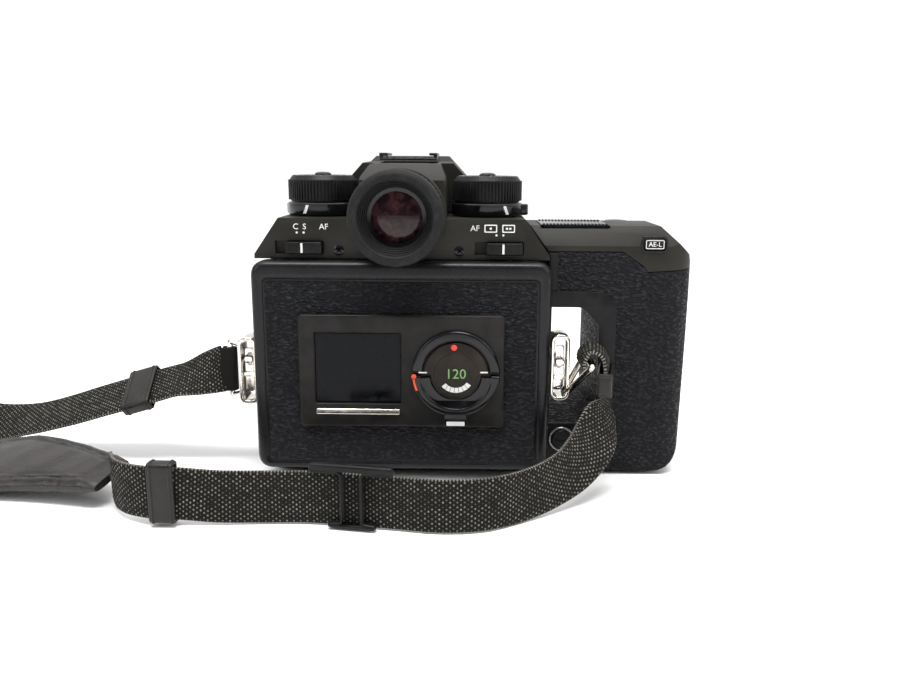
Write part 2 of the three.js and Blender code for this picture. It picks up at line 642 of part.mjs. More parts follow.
place(camera, 'film_back_cover', backCover(), blackPlastic, 0.35, 0.1);
place(camera, 'film_back_leather', backLeather(), leather, 0.65, 0);
place(camera, 'memo_plate', memoPlate(), 0x1e1e20, 0.45, 0.1);
place(camera, 'memo_chrome_strip',
  block(-28.7, -0.5, backRear - memoProud - 1, backRear - memoProud - gap, 24.2, 26.2), nickel, 0.15, 1);
const latch = new THREE.Group();
latch.position.set(latchX, backRear - memoProud, latchZ);
camera.add(latch);
place(latch, 'latch_disc', latchDiscPiece(), 0x26221f, 0.35, 0.1);
place(latch, 'latch_bail', latchBail(), blackPlastic, 0.2, 0.1);
place(camera, 'insert_frame', insertFrame(), 0x1a1a1a, 0.5, 0.3);
place(camera, 'pressure_plate', block(1.6 - spoolHalfLength, spoolHalfLength - 1.6, -1.6, -0.5, 16, 62), steel, 0.4, 0.8);
place(camera, 'feed_spool', spool(), 0x202022, 0.5, 0, [0, spoolCentreY, axisHeight - spoolOffset]);
place(camera, 'takeup_spool', spool(), 0x202022, 0.5, 0, [0, spoolCentreY, axisHeight + spoolOffset]);

// ---- strap -------------------------------------------------------------------------------
const clipInner = bodyHalf + 2.6;
const clipOuter = bodyHalf + 9.2;
const legStart = clipOuter - 0.7;
const rightBar = clipOuter + 5.2;
const leftBar = clipOuter + 4.7;

function strapLug() {
  const neckEnd = clipInner + 2.2 - bodyHalf;
  return disc(2.2, gap, neckEnd, 'x', 16).add(disc(3.6, neckEnd - 0.2, neckEnd + 1.6, 'x', 16))
    .translate(bodyHalf, lugY, lugZ);
}

function rod(from, to, radius) {
  const start = new THREE.Vector3(...from);
  const along = new THREE.Vector3(...to).sub(start);
  const rodGeometry = new THREE.CylinderGeometry(radius, radius, along.length(), 10);
  rodGeometry.translate(0, along.length() / 2, 0);
  rodGeometry.applyQuaternion(new THREE.Quaternion().setFromUnitVectors(
    new THREE.Vector3(0, 1, 0), along.normalize()));
  return solid(rodGeometry.translate(...from));
}

// Folded clip on the lug with its wire loop: the loop's bar runs between the two bar ends.
function strapClip(bottom, top, root, barEnds) {
  const outer = slabY(roundedRect(clipInner, clipOuter, bottom, top, 3), lugY - 5, lugY + 5);
  const inner = slabY(roundedRect(clipInner + 1.2, clipOuter - 1.2, bottom + 1.4, top - 1.4, 1.9),
    lugY - 6, lugY + 6);
  const legs = barEnds.map((end, i) => rod(root[i], end, 1.1));
  const bar = rod(barEnds[0], barEnds[1], 1.1);
  return outer.subtract(inner)
    .subtract(disc(2.2 + running, 0, clipInner + 2, 'x', 16).translate(0, lugY, lugZ))
    .add(legs[0]).add(legs[1]).add(bar);
}

// Flat strap: a straight bar mapped onto a route of [x, y, z, nx, ny, nz] centre points and
// face normals.
function strap(route, width, thickness, steps) {
  const centre = new THREE.CatmullRomCurve3(route.map((p) => new THREE.Vector3(p[0], p[1], p[2])));
  const facing = new THREE.CatmullRomCurve3(route.map((p) => new THREE.Vector3(p[3], p[4], p[5])));
  const section = roundedRect(-width / 2, width / 2, -thickness / 2, thickness / 2, thickness * 0.3);
  const bar = new THREE.ExtrudeGeometry(section,
    { depth: 1, steps, bevelEnabled: false, curveSegments: 1 });
  const position = bar.attributes.position;
  for (let i = 0; i < position.count; i += 1) {
    const t = Math.min(1, Math.max(0, position.getZ(i)));
    const tangent = centre.getTangent(t);
    const across = facing.getPoint(t).cross(tangent).normalize();
    const normal = tangent.clone().cross(across).normalize();
    const point = centre.getPoint(t).addScaledVector(across, position.getX(i))
      .addScaledVector(normal, position.getY(i));
    position.setXYZ(i, point.x, point.y, point.z);
  }
  return solid(bar);
}

const keeperWall = 1.1;

// Sleeve round a strap: centre, heading in plan, tilt along the strap and lean of its face.
function keeper(x, y, z, heading, tilt, length, lean = 0) {
  const halfWidth = strapWidth / 2 + 0.9;
  const halfThick = strapThickness / 2 + 1.1;
  const outerWidth = halfWidth + keeperWall;
  const outerThick = halfThick + keeperWall;
  const outer = block(-length / 2, length / 2, -outerThick, outerThick, -outerWidth, outerWidth);
  const bore = block(-length, length, -halfThick, halfThick, -halfWidth, halfWidth);
  return outer.subtract(bore).rotate([lean, 0, 0]).rotate([0, tilt, 0]).rotate([0, 0, heading])
    .translate(x, y, z);
}

const onEdge = strapWidth / 2 + 0.1;
const rightRoute = [
  [60.3, -29.8, 42.2, -1, 0, 0], [60.4, -29.8, 44.6, -1, 0, 0.3], [63, -30, 47.8, 0, 0, 1],
  [66.8, -30.6, 46.4, 0.9, -0.1, 0.8], [68.5, -31, 42.8, 1, -0.2, 0], [68.5, -31, 37.6, 1, -0.2, 0],
  [68.5, -31.1, 32, 1, -0.2, 0], [68, -33.2, 27, 0.8, -0.6, 0.1], [66, -37.6, 22.4, 0.4, -0.9, 0.1],
  [62.6, -42.4, 17.2, 0.1, -1, 0], [57, -48.4, 12.6, 0.1, -1, 0], [49.6, -55, 9.8, 0.3, -1, 0],
  [40.4, -62, onEdge, 0.4, -1, 0], [28, -69.6, onEdge, 0.5, -1, 0], [15, -71.4, onEdge, -0.1, -1, 0],
  [2, -69.4, onEdge, -0.17, -1, 0], [-11.4, -67.1, onEdge, -0.17, -1, 0], [-25, -65.2, onEdge, -0.1, -1, 0],
  [-40, -65.6, onEdge, 0.1, -1, 0], [-53, -66.8, 8.8, 0.1, -1, 0], [-64, -67.4, 9.8, 0, -1, 0],
  [-74, -67.2, 10.1, 0, -1, 0], [-82, -63.4, 9.8, -0.5, -1, 0], [-87.4, -57.6, 9.2, -0.7, -1, 0],
  [-91, -51, 8.8, -0.8, -1, 0]];
const leftRoute = [
  [-64.7, -12.4, 35.2, 0.1, -1, 0.3], [-72, -10.8, 33.1, 0.15, -0.8, 0.6],
  [-84, -8.8, 29.5, 0.2, -0.5, 0.85], [-97, -7.6, 25.5, 0.2, -0.5, 0.85],
  [-110, -6.4, 21.5, 0.2, -0.5, 0.85], [-124, -4.6, 17, 0.2, -0.5, 0.85],
  [-139, -1.6, 12.6, 0.2, -0.5, 0.85], [-155, 2, 9.4, 0.15, -0.65, 0.75],
  [-175, 6, 8.8, 0.15, -0.9, 0.4],
  [-198, 11, onEdge, 0.2, -1, 0], [-224, 17, onEdge, 0.2, -1, 0], [-250, 22, onEdge, 0.1, -1, 0],
  [-276, 24, onEdge, 0, -1, 0], [-298, 20, onEdge, -0.4, -1, 0], [-312, 8, onEdge, -1, -0.7, 0],
  [-314, -8, onEdge, -1, 0.2, 0], [-304, -19, onEdge, -0.6, 1, 0], [-291, -22, onEdge, -0.1, 1, 0]];
const padRoute = [
  [-96, -47.5, 8, 0.1, -0.3, 1], [-112, -41.5, 8, 0.1, -0.3, 1], [-130, -36, 7.4, 0.05, -0.25, 1],
  [-150, -31.5, 5.2, 0, -0.1, 1], [-175, -28.5, 3, 0, 0, 1], [-200, -27, 3, 0, 0, 1],
  [-225, -26, 3, 0, 0, 1], [-250, -25, 3, 0, 0, 1], [-270, -24, 3, 0, 0, 1], [-284, -23, 3, 0, 0, 1]];

// Slider plate standing against the face of the strap: top bar, stem and foot.
function triGlide(x, y, heading) {
  const back = -strapThickness / 2 - running;
  const face = back - 2.4;
  const bar = block(-13, 13, face, back, strapWidth + 0.6, strapWidth + 3.6);
  const stem = block(-3.6, 3.6, face, back, 0.3, strapWidth + 1);
  const foot = block(-7.5, 7.5, face, back, 0, 1.6);
  return bar.add(stem).add(foot).rotate([0, 0, heading]).translate(x, y, 0.2);
}

place(camera, 'strap_lug_right', strapLug(), steel, 0.3, 1);
place(camera, 'strap_lug_left', strapLug().mirror([1, 0, 0]), steel, 0.3, 1);
place(camera, 'strap_clip_right', strapClip(26.5, 50,
  [[legStart, -17, 28.6], [legStart, -13, 28.6]],
  [[rightBar, -39.6, 43.4], [rightBar, -20, 43.4]]), nickel, 0.15, 1);
place(camera, 'strap_clip_left', strapClip(24.5, 48,
  [[legStart, -14, 27], [legStart, -14, 44]],
  [[leftBar, -12.4, 25], [leftBar, -12.4, 45.4]]).mirror([1, 0, 0]), nickel, 0.15, 1);
place(camera, 'webbing_right', strap(rightRoute, strapWidth, strapThickness, 66), cloth, 0.9, 0);
place(camera, 'webbing_left', strap(leftRoute, strapWidth, strapThickness, 60), cloth, 0.9, 0);
place(camera, 'shoulder_pad', strap(padRoute, padWidth, padThickness, 24), leather, 0.35, 0);
place(camera, 'tri_glide', triGlide(-11.4, -67.1, -9.6), blackPlastic, 0.5, 0);
place(camera, 'keeper_right', keeper(68.5, -31.1, 37.2, 79, 90, 8), leather, 0.45, 0);
place(camera, 'keeper_left', keeper(-97, -7.6, 25.5, -5.3, -17, 11, -57), leather, 0.45, 0);
place(camera, 'keeper_lower', keeper(-69, -67.4, 10.35, -1, 0, 8), leather, 0.45, 0);

export default camera;
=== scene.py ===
import json
import math

import bmesh
import bpy
from mathutils import Matrix, Vector

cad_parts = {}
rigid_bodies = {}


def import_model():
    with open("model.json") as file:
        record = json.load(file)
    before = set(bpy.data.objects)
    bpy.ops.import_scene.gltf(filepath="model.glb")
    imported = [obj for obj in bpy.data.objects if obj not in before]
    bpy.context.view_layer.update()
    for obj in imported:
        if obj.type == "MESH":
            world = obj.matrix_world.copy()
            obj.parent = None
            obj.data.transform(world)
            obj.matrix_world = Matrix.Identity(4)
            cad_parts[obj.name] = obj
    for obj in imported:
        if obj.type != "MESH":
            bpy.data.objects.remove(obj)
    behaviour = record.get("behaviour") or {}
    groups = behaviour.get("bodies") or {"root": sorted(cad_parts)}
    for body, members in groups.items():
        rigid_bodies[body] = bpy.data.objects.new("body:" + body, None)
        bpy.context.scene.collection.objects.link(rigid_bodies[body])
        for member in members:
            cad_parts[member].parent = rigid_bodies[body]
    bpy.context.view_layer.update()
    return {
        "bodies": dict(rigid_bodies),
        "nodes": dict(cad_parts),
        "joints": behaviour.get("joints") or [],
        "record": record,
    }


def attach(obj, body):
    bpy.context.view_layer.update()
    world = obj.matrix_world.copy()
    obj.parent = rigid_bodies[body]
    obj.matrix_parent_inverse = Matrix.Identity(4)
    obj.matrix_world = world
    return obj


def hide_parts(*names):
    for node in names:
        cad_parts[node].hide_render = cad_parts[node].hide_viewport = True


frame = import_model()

MM = 0.001
X_AXIS, Y_AXIS, Z_AXIS = Vector((1, 0, 0)), Vector((0, 1, 0)), Vector((0, 0, 1))


# ------------------------------------------------------------------ shader language
class Sock:
    """A shader socket or number that builds Math nodes when it is used in an expression."""

    def __init__(self, tree, link):
        self.tree, self.link = tree, link

    def _math(self, operation, *others):
        return node(self.tree, "ShaderNodeMath", {"operation": operation},
                    dict(enumerate((self, *others))))

    def __add__(self, other):
        return self._math("ADD", other)

    def __sub__(self, other):
        return self._math("SUBTRACT", other)

    def __mul__(self, other):
        return self._math("MULTIPLY", other)

    def __rsub__(self, other):
        return self * -1.0 + other

    __radd__, __rmul__ = __add__, __mul__

    def sine(self):
        return self._math("SINE")

    def at_most(self, other):
        return self._math("MINIMUM", other)

    def ramp(self, low, high, to_low=0.0, to_high=1.0):
        settings = {"clamp": True, "interpolation_type": "SMOOTHSTEP"}
        values = {"Value": self, "From Min": low, "From Max": high, "To Min": to_low, "To Max": to_high}
        return node(self.tree, "ShaderNodeMapRange", settings, values)


def node(tree, kind, settings=None, values=None, output=0):
    """Adds one node: its settings first, then the values or links of its sockets."""
    made = tree.nodes.new(kind)
    for key, value in (settings or {}).items():
        setattr(made, key, value)
    for key, value in (values or {}).items():
        socket = made.inputs[key]
        if isinstance(value, Sock):
            tree.links.new(value.link, socket)
        else:
            socket.default_value = value
    return Sock(tree, made.outputs[output])


class Finish:
    """One material under construction, with the patterns that finishes share."""

    def __init__(self, name, colour, roughness, metallic=0.0, **constants):
        self.material = bpy.data.materials.new(name)
        self.material.use_nodes = True
        self.tree = self.material.node_tree
        self.shader = self.tree.nodes["Principled BSDF"]
        self.shader.inputs["Base Color"].default_value = (*colour, 1)
        self.shader.inputs["Roughness"].default_value = roughness
        self.shader.inputs["Metallic"].default_value = metallic
        for key, value in constants.items():
            self.shader.inputs[key.replace("_", " ")].default_value = value
        self.height = None

    def node(self, kind, settings=None, values=None, output=0):
        return node(self.tree, kind, settings, values, output)

    def place(self, scale=(1, 1, 1), rotation=(0, 0, 0), source="Object"):
        coordinates = self.tree.nodes.new("ShaderNodeTexCoord")
        return self.node("ShaderNodeMapping", None, {
            "Vector": Sock(self.tree, coordinates.outputs[source]),
            "Scale": scale, "Rotation": rotation})

    def noise(self, scale, detail=3.0, roughness=0.5, place=None, distortion=0.0):
        return self.node("ShaderNodeTexNoise", None, {
            "Vector": place or self.place(), "Scale": scale, "Detail": detail,
            "Roughness": roughness, "Distortion": distortion})

    def cells(self, scale, place=None, feature="F1", randomness=1.0):
        return self.node("ShaderNodeTexVoronoi", {"feature": feature}, {
            "Vector": place or self.place(), "Scale": scale, "Randomness": randomness})

    def parts(self, place):
        split = self.tree.nodes.new("ShaderNodeSeparateXYZ")
        self.tree.links.new(place.link, split.inputs[0])
        return [Sock(self.tree, out) for out in split.outputs]

    def mix(self, share, first, second):
        values = {"Factor": share, "A": first, "B": second}
        made = self.tree.nodes.new("ShaderNodeMix")
        made.data_type = "RGBA"
        for key, value in values.items():
            socket = [s for s in made.inputs if s.name == key and s.enabled][0]
            if isinstance(value, Sock):
                self.tree.links.new(value.link, socket)
            else:
                socket.default_value = value if key == "Factor" else (*value, 1)
        return Sock(self.tree, [s for s in made.outputs if s.enabled][0])

    def colour(self, link):
        self.tree.links.new(link.link, self.shader.inputs["Base Color"])

    def rough(self, link):
        self.tree.links.new(link.link, self.shader.inputs["Roughness"])

    def bump(self, height, strength, distance):
        values = {"Height": height, "Strength": strength, "Distance": distance}
        if self.height is not None:
            values["Normal"] = self.height
        self.height = self.node("ShaderNodeBump", None, values)
        self.tree.links.new(self.height.link, self.shader.inputs["Normal"])


# ------------------------------------------------------------------ finishes
def satin_enamel():
    f = Finish("satin enamel", (0.008, 0.008, 0.009), 0.26, Specular_IOR_Level=0.22)
    grain = f.noise(2600, 2)
    drift = f.noise(70, 4)
    f.rough(drift.ramp(0.3, 0.7, 0.20, 0.30) + grain * 0.05)
    f.colour(f.mix(drift.ramp(0.3, 0.7), (0.006, 0.006, 0.007), (0.011, 0.011, 0.012)))
    f.bump(grain, 0.12, 0.00006)
    return f.material


def matt_paint():
    f = Finish("matt grey-black paint", (0.02, 0.019, 0.016), 0.5, Specular_IOR_Level=0.16)
    grain = f.noise(3800, 2, 0.6)
    drift = f.noise(60, 4)
    f.colour(f.mix(drift.ramp(0.35, 0.65), (0.0150, 0.0142, 0.0118), (0.0225, 0.0212, 0.0180)))
    f.rough(drift.ramp(0.3, 0.7, 0.42, 0.52))
    f.bump(grain, 0.3, 0.00005)
    return f.material


def leatherette():
    f = Finish("wrinkled leatherette", (0.008, 0.009, 0.013), 0.5, Specular_IOR_Level=0.2)
    place = f.place(scale=(1.0, 1.0, 2.0))
    folds = f.noise(360, 4, 0.6, place, 1.6)
    pebbles = f.cells(620, place, "SMOOTH_F1")
    small = f.cells(1100, place, "SMOOTH_F1")
    height = 1.0 - pebbles.ramp(0.1, 0.6) * 1.1 - small.ramp(0.1, 0.6) * 0.2
    height = height + folds.ramp(0.36, 0.64) * 0.7
    # colour follows the bump height: painted shade in the grooves between pebbles and folds, painted
    # highlight on the pebble tops
    f.colour(f.mix(height.ramp(0.3, 1.3), (0.0022, 0.0025, 0.0042), (0.0115, 0.0120, 0.0165)))
    f.rough(height.ramp(0.3, 1.3, 0.66, 0.36))
    f.bump(height, 1.0, 0.0008)
    f.bump(f.noise(2600, 3), 0.2, 0.00005)
    return f.material


def smooth_leather(name, colour, roughness):
    f = Finish(name, colour, roughness, Specular_IOR_Level=0.3)
    pores = f.cells(900, None, "F1")
    creases = f.noise(120, 5, 0.6, None, 0.8)
    # painted highlight on the raised crease folds and painted shade in their dips: the colour follows the
    # crease bump
    painted_highlight_colour = tuple(c * 1.9 for c in colour)
    f.colour(f.mix(creases.ramp(0.35, 0.7), colour, painted_highlight_colour))
    f.rough(creases.ramp(0.3, 0.7, roughness - 0.08, roughness + 0.12))
    f.bump(creases, 0.35, 0.0006)
    f.bump(pores, 0.3, 0.00012)
    return f.material


def black_rubber():
    f = Finish("matt rubber", (0.012, 0.012, 0.012), 0.62, Specular_IOR_Level=0.18)
    dust = f.noise(500, 5, 0.7)
    f.colour(f.mix(dust.ramp(0.45, 0.75), (0.008, 0.008, 0.0085), (0.020, 0.020, 0.020)))
    f.rough(dust.ramp(0.3, 0.7, 0.55, 0.72))
    f.bump(f.noise(3000, 2), 0.2, 0.00005)
    return f.material


def moulded(name, colour, roughness, grain=0.15, shine=0.16):
    f = Finish(name, colour, roughness, Specular_IOR_Level=shine)
    drift = f.noise(180, 4)
    f.colour(f.mix(drift.ramp(0.35, 0.7), colour, tuple(c * 1.6 + 0.002 for c in colour)))
    f.rough(drift.ramp(0.3, 0.7, max(0.05, roughness - 0.06), roughness + 0.08))
    f.bump(f.noise(3400, 2), grain, 0.00005)
    return f.material


def polished_nickel():
    f = Finish("polished nickel", (0.74, 0.70, 0.64), 0.13, 1.0)
    marks = f.noise(420, 5, 0.7, f.place(scale=(1, 1, 6)))
    f.rough(marks.ramp(0.35, 0.75, 0.08, 0.26))
    f.colour(f.mix(marks.ramp(0.4, 0.8), (0.78, 0.75, 0.70), (0.58, 0.50, 0.41)))
    f.bump(marks, 0.15, 0.0001)
    return f.material


def satin_steel():
    f = Finish("satin steel", (0.45, 0.45, 0.46), 0.3, 1.0)
    brush = f.noise(300, 3, 0.6, f.place(scale=(1, 14, 1)))
    f.rough(brush.ramp(0.3, 0.7, 0.22, 0.42))
    f.colour(f.mix(brush.ramp(0.3, 0.7), (0.36, 0.36, 0.37), (0.52, 0.52, 0.53)))
    return f.material


def coated_glass():
    f = Finish("coated glass", (0.06, 0.02, 0.025), 0.05, Specular_IOR_Level=0.25)
    ripple = f.noise(230, 3, 0.55, None, 1.6)
    f.colour(f.mix(ripple.ramp(0.35, 0.8), (0.012, 0.006, 0.008), (0.085, 0.034, 0.036)))
    f.rough(f.noise(900, 2).ramp(0.4, 0.8, 0.02, 0.08))
    return f.material


def clear_glass():
    f = Finish("lens glass", (0.02, 0.024, 0.034), 0.02, Coat_Weight=1.0, Coat_Roughness=0.02)
    f.colour(f.mix(f.noise(60, 2).ramp(0.4, 0.6), (0.010, 0.014, 0.026), (0.03, 0.022, 0.04)))
    f.rough(f.noise(1200, 2).ramp(0.4, 0.8, 0.02, 0.05))
    return f.material


def dark_window(name, shine):
    f = Finish(name, (0.002, 0.0025, 0.004), 0.16, Specular_IOR_Level=shine)
    smear = f.noise(90, 5, 0.6, None, 1.2)
    f.colour(f.mix(smear.ramp(0.45, 0.7), (0.0012, 0.0016, 0.0030), (0.0035, 0.0042, 0.0070)))
    f.rough(smear.ramp(0.35, 0.7, 0.10, 0.24))
    return f.material


def printed(name, colour):
    f = Finish(name, colour, 0.45)
    wear = f.noise(2200, 4, 0.7)
    f.colour(f.mix(wear.ramp(0.5, 0.8), colour, tuple(c * 0.72 for c in colour)))
    f.rough(wear.ramp(0.3, 0.7, 0.38, 0.55))
    return f.material


def woven_nylon():
    """Basket weave along the strap: the UV map holds millimetres along and across it. Its pale colour on
    the raised tufts and rolled edges is a painted highlight.
    """
    f = Finish("woven nylon", (0.010, 0.010, 0.011), 0.65, Specular_IOR_Level=0.12)
    along, across = f.parts(f.place(source="UV"))[:2]
    fibres = (across * 42.0 + along * 9.0).sine()
    tuft_and_sheen = f.node("ShaderNodeAttribute", {"attribute_name": "tuft_and_sheen"}, None, 2)
    speck = f.noise(1100, 3, 0.6)
    sheen_breakup = f.noise(120, 3, 0.6)
    # painted highlight: pale colour where the per-vertex sheen value is high, on tuft tops and rolled
    # edges, broken up by noise
    share = (tuft_and_sheen.ramp(0.50, 0.78) * speck.ramp(0.22, 0.50) * sheen_breakup.ramp(0.25, 0.6, 0.65, 1.0)).at_most(1.0)
    f.colour(f.mix(share, (0.0080, 0.0076, 0.0068), (0.26, 0.245, 0.205)))
    f.rough(share * -0.2 + 0.68)
    f.bump(fibres * 0.5 + speck, 0.35, 0.00008)
    return f.material


ENAMEL = satin_enamel()
PAINT = matt_paint()
LEATHERETTE = leatherette()
BAND_LEATHER = smooth_leather("keeper leather", (0.010, 0.0085, 0.0075), 0.38)
PAD_LEATHER = smooth_leather("pad leather", (0.014, 0.012, 0.011), 0.27)
RUBBER = black_rubber()
PLASTIC = moulded("satin black plastic", (0.006, 0.006, 0.0065), 0.36)
DIAL_BLACK = moulded("dial black", (0.006, 0.006, 0.006), 0.45, 0.3)
GLOSS = moulded("gloss black plastic", (0.004, 0.004, 0.005), 0.16, 0.05, 0.3)
MEMO_GREY = moulded("memo plate grey", (0.0115, 0.0108, 0.0102), 0.36, 0.3, 0.13)
DISC_BROWN = moulded("disc brown-grey", (0.016, 0.0125, 0.0098), 0.4, 0.2)
MATT_PLASTIC = moulded("matt black plastic", (0.006, 0.006, 0.0065), 0.55, 0.4, 0.2)
NICKEL = polished_nickel()
STEEL = satin_steel()
BLACK_STEEL = moulded("blackened steel", (0.012, 0.012, 0.012), 0.3, 0.1, 0.4)
EYE_GLASS = coated_glass()
LENS_GLASS = clear_glass()
WINDOW = dark_window("memo window", 0.12)
DISPLAY = dark_window("display window", 0.08)
WHITE = printed("white print", (0.75, 0.75, 0.73))
RED = printed("red print", (0.80, 0.045, 0.015))
ORANGE = printed("orange print", (0.82, 0.075, 0.02))
GREEN_WHITE = printed("pale green print", (0.20, 0.38, 0.13))
NYLON = woven_nylon()
SILVER_MIRROR = Finish("silvered mirror", (0.8, 0.82, 0.84), 0.04, 1.0).material


# ------------------------------------------------------------------ modelling language
def deselect():
    if bpy.context.object and bpy.context.object.mode != "OBJECT":
        bpy.ops.object.mode_set(mode="OBJECT")
    bpy.ops.object.select_all(action="DESELECT")


def activate(piece):
    deselect()
    piece.select_set(True)
    bpy.context.view_layer.objects.active = piece
    return piece


def bake_place(piece):
    activate(piece)
    bpy.ops.object.transform_apply(location=True, rotation=True, scale=True)
    return piece


def modifier(piece, kind, **settings):
    activate(piece)
    made = piece.modifiers.new(kind.title(), kind)
    for key, value in settings.items():
        setattr(made, key, value)
    bpy.ops.object.modifier_apply(modifier=made.name)
    return piece


def bevel(piece, width, segments=3, angle=35):
    return modifier(piece, "BEVEL", width=width * MM, segments=segments, limit_method="ANGLE",
                    angle_limit=math.radians(angle), miter_outer="MITER_ARC")


def smooth(piece, angle=35):
    activate(piece)
    bpy.ops.object.shade_smooth_by_angle(angle=math.radians(angle))
    return piece


def outwards(piece):
    activate(piece)
    bpy.ops.object.mode_set(mode="EDIT")
    bpy.ops.mesh.select_all(action="SELECT")
    bpy.ops.mesh.remove_doubles(threshold=1e-6)
    bpy.ops.mesh.normals_make_consistent(inside=False)
    bpy.ops.object.mode_set(mode="OBJECT")
    return piece


def cube(name, low, high):
    """Box between two corners given in millimetres."""
    deselect()
    centre = [(a + b) / 2 * MM for a, b in zip(low, high)]
    bpy.ops.mesh.primitive_cube_add(size=1, location=centre)
    piece = bpy.context.object
    piece.name = name
    piece.scale = [(b - a) * MM for a, b in zip(low, high)]
    return bake_place(piece)


def turn_to(axis):
    """Rotation that takes +Z to an axis; Y keeps Z up as the other long direction."""
    return {"z": Matrix.Identity(4), "x": Matrix.Rotation(math.radians(90), 4, "Y"),
            "y": Matrix.Rotation(math.radians(-90), 4, "X")}[axis]


def cylinder(name, radius, start, end, axis="z", centre=(0, 0, 0), sides=64):
    """Cylinder from start to end along an axis through a centre, in millimetres."""
    deselect()
    bpy.ops.mesh.primitive_cylinder_add(vertices=sides, radius=radius * MM, depth=(end - start) * MM)
    piece = bpy.context.object
    piece.name = name
    along = {"x": X_AXIS, "y": Y_AXIS, "z": Z_AXIS}[axis]
    middle = Vector(centre) * MM + along * (start + end) / 2 * MM
    piece.matrix_world = Matrix.Translation(middle) @ turn_to(axis)
    return bake_place(piece)


def lathe(name, profile, axis="z", centre=(0, 0, 0), steps=96):
    """Turned piece: [radius, height] points in millimetres, spun round an axis through a centre."""
    deselect()
    curve = bpy.data.curves.new(name, "CURVE")
    curve.dimensions = "3D"
    spline = curve.splines.new("POLY")
    spline.points.add(len(profile) - 1)
    for point, (r, h) in zip(spline.points, profile):
        point.co = (r * MM, 0, h * MM, 1)
    piece = bpy.data.objects.new(name, curve)
    bpy.context.scene.collection.objects.link(piece)
    activate(piece)
    bpy.ops.object.convert(target="MESH")
    piece = bpy.context.object
    modifier(piece, "SCREW", steps=steps, render_steps=steps, use_merge_vertices=True,
             merge_threshold=1e-6, axis="Z")
    piece.matrix_world = Matrix.Translation(Vector(centre) * MM) @ turn_to(axis)
    bake_place(piece)
    return outwards(piece)


def rounded(points, radius, steps=6):
    """Outline with its corners rounded: radius is one number, or one for each corner."""
    radii = radius if isinstance(radius, (list, tuple)) else [radius] * len(points)
    out = []
    for i, corner in enumerate(points):
        here = Vector(corner)
        before = (Vector(points[i - 1]) - here)
        after = (Vector(points[(i + 1) % len(points)]) - here)
        if radii[i] <= 0:
            out.append(tuple(here))
            continue
        half = before.angle(after) / 2
        reach = min(radii[i] / math.tan(half), before.length * 0.49, after.length * 0.49)
        first, last = here + before.normalized() * reach, here + after.normalized() * reach
        for k in range(steps + 1):
            t = k / steps
            out.append(tuple(first.lerp(here, t).lerp(here.lerp(last, t), t)))
    return out


def knurled(x, z, ribs, profile):
    """Outline of a ribbed rim: the profile gives (share of one rib, radius) pairs."""
    outline = []
    for k in range(ribs):
        a = 2 * math.pi * k / ribs
        for step, r in profile:
            b = a + step * 2 * math.pi / ribs
            outline.append((x + r * math.cos(b), z + r * math.sin(b)))
    return outline


def box_outline(x0, x1, z0, z1):
    return [(x0, z0), (x1, z0), (x1, z1), (x0, z1)]


def arc(cx, cy, radius, start, end, steps=24):
    angles = [math.radians(start + (end - start) * k / steps) for k in range(steps + 1)]
    return [(cx + radius * math.cos(a), cy + radius * math.sin(a)) for a in angles]


def slab(name, outline, low, high, axis="y", edge=0.0, segments=3):
    """Plate of an outline in millimetres, pushed along an axis, with rounded rims.
    The outline is X-Z for axis y, X-Y for axis z and Y-Z for axis x."""
    deselect()
    curve = bpy.data.curves.new(name, "CURVE")
    curve.dimensions = "2D"
    curve.fill_mode = "BOTH"
    curve.extrude = ((high - low) / 2 - edge) * MM
    curve.bevel_depth = edge * MM
    curve.bevel_resolution = segments
    curve.offset = -edge * MM
    loops = outline if isinstance(outline[0], list) else [outline]
    for loop in loops:
        spline = curve.splines.new("POLY")
        spline.points.add(len(loop) - 1)
        for point, (a, b) in zip(spline.points, loop):
            point.co = (a * MM, b * MM, 0, 1)
        spline.use_cyclic_u = True
    piece = bpy.data.objects.new(name, curve)
    bpy.context.scene.collection.objects.link(piece)
    activate(piece)
    bpy.ops.object.convert(target="MESH")
    piece = bpy.context.object
    middle = (low + high) / 2 * MM
    turn = {
        "y": Matrix(((1, 0, 0, 0), (0, 0, -1, middle), (0, 1, 0, 0), (0, 0, 0, 1))),
        "z": Matrix.Translation((0, 0, middle)),
        "x": Matrix(((0, 0, 1, middle), (1, 0, 0, 0), (0, 1, 0, 0), (0, 0, 0, 1))),
    }[axis]
    piece.matrix_world = turn
    bake_place(piece)
    return outwards(piece)


def boolean(piece, tool, operation="DIFFERENCE"):
    modifier(piece, "BOOLEAN", object=tool, operation=operation, solver="EXACT")
    bpy.data.objects.remove(tool)
    return piece


def join(name, *pieces):
    deselect()
    for piece in pieces:
        piece.select_set(True)
    bpy.context.view_layer.objects.active = pieces[0]
    if len(pieces) > 1:
        bpy.ops.object.join()
    pieces[0].name = name
    return pieces[0]


def refined(name, width, segments=3, angle=30):
    """Copy of a CAD node with its doubles merged, its flats joined and its edges rounded."""
    source = frame["nodes"][name]
    piece = bpy.data.objects.new(name + "_shape", source.data.copy())
    bpy.context.scene.collection.objects.link(piece)
    activate(piece)
    bpy.ops.object.mode_set(mode="EDIT")
    bpy.ops.mesh.select_all(action="SELECT")
    bpy.ops.mesh.remove_doubles(threshold=2e-6)
    bpy.ops.mesh.dissolve_limited(angle_limit=math.radians(1.5))
    bpy.ops.object.mode_set(mode="OBJECT")
    piece.data.materials.clear()
    return bevel(piece, width, segments, angle)


def finish(piece, material, slot, body, *nodes, angle=35):
    """Gives a piece its finish, shading and body, and hides the CAD nodes that it stands for; slot is not
    used.
    """
    piece.data.materials.clear()
    piece.data.materials.append(material)
    smooth(piece, angle)
    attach(piece, body)
    if nodes:
        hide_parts(*nodes)
    return piece


def recolour(name, material):
    """Gives a CAD node that keeps its own mesh a better finish."""
    held = frame["nodes"][name]
    held.data.materials.clear()
    held.data.materials.append(material)


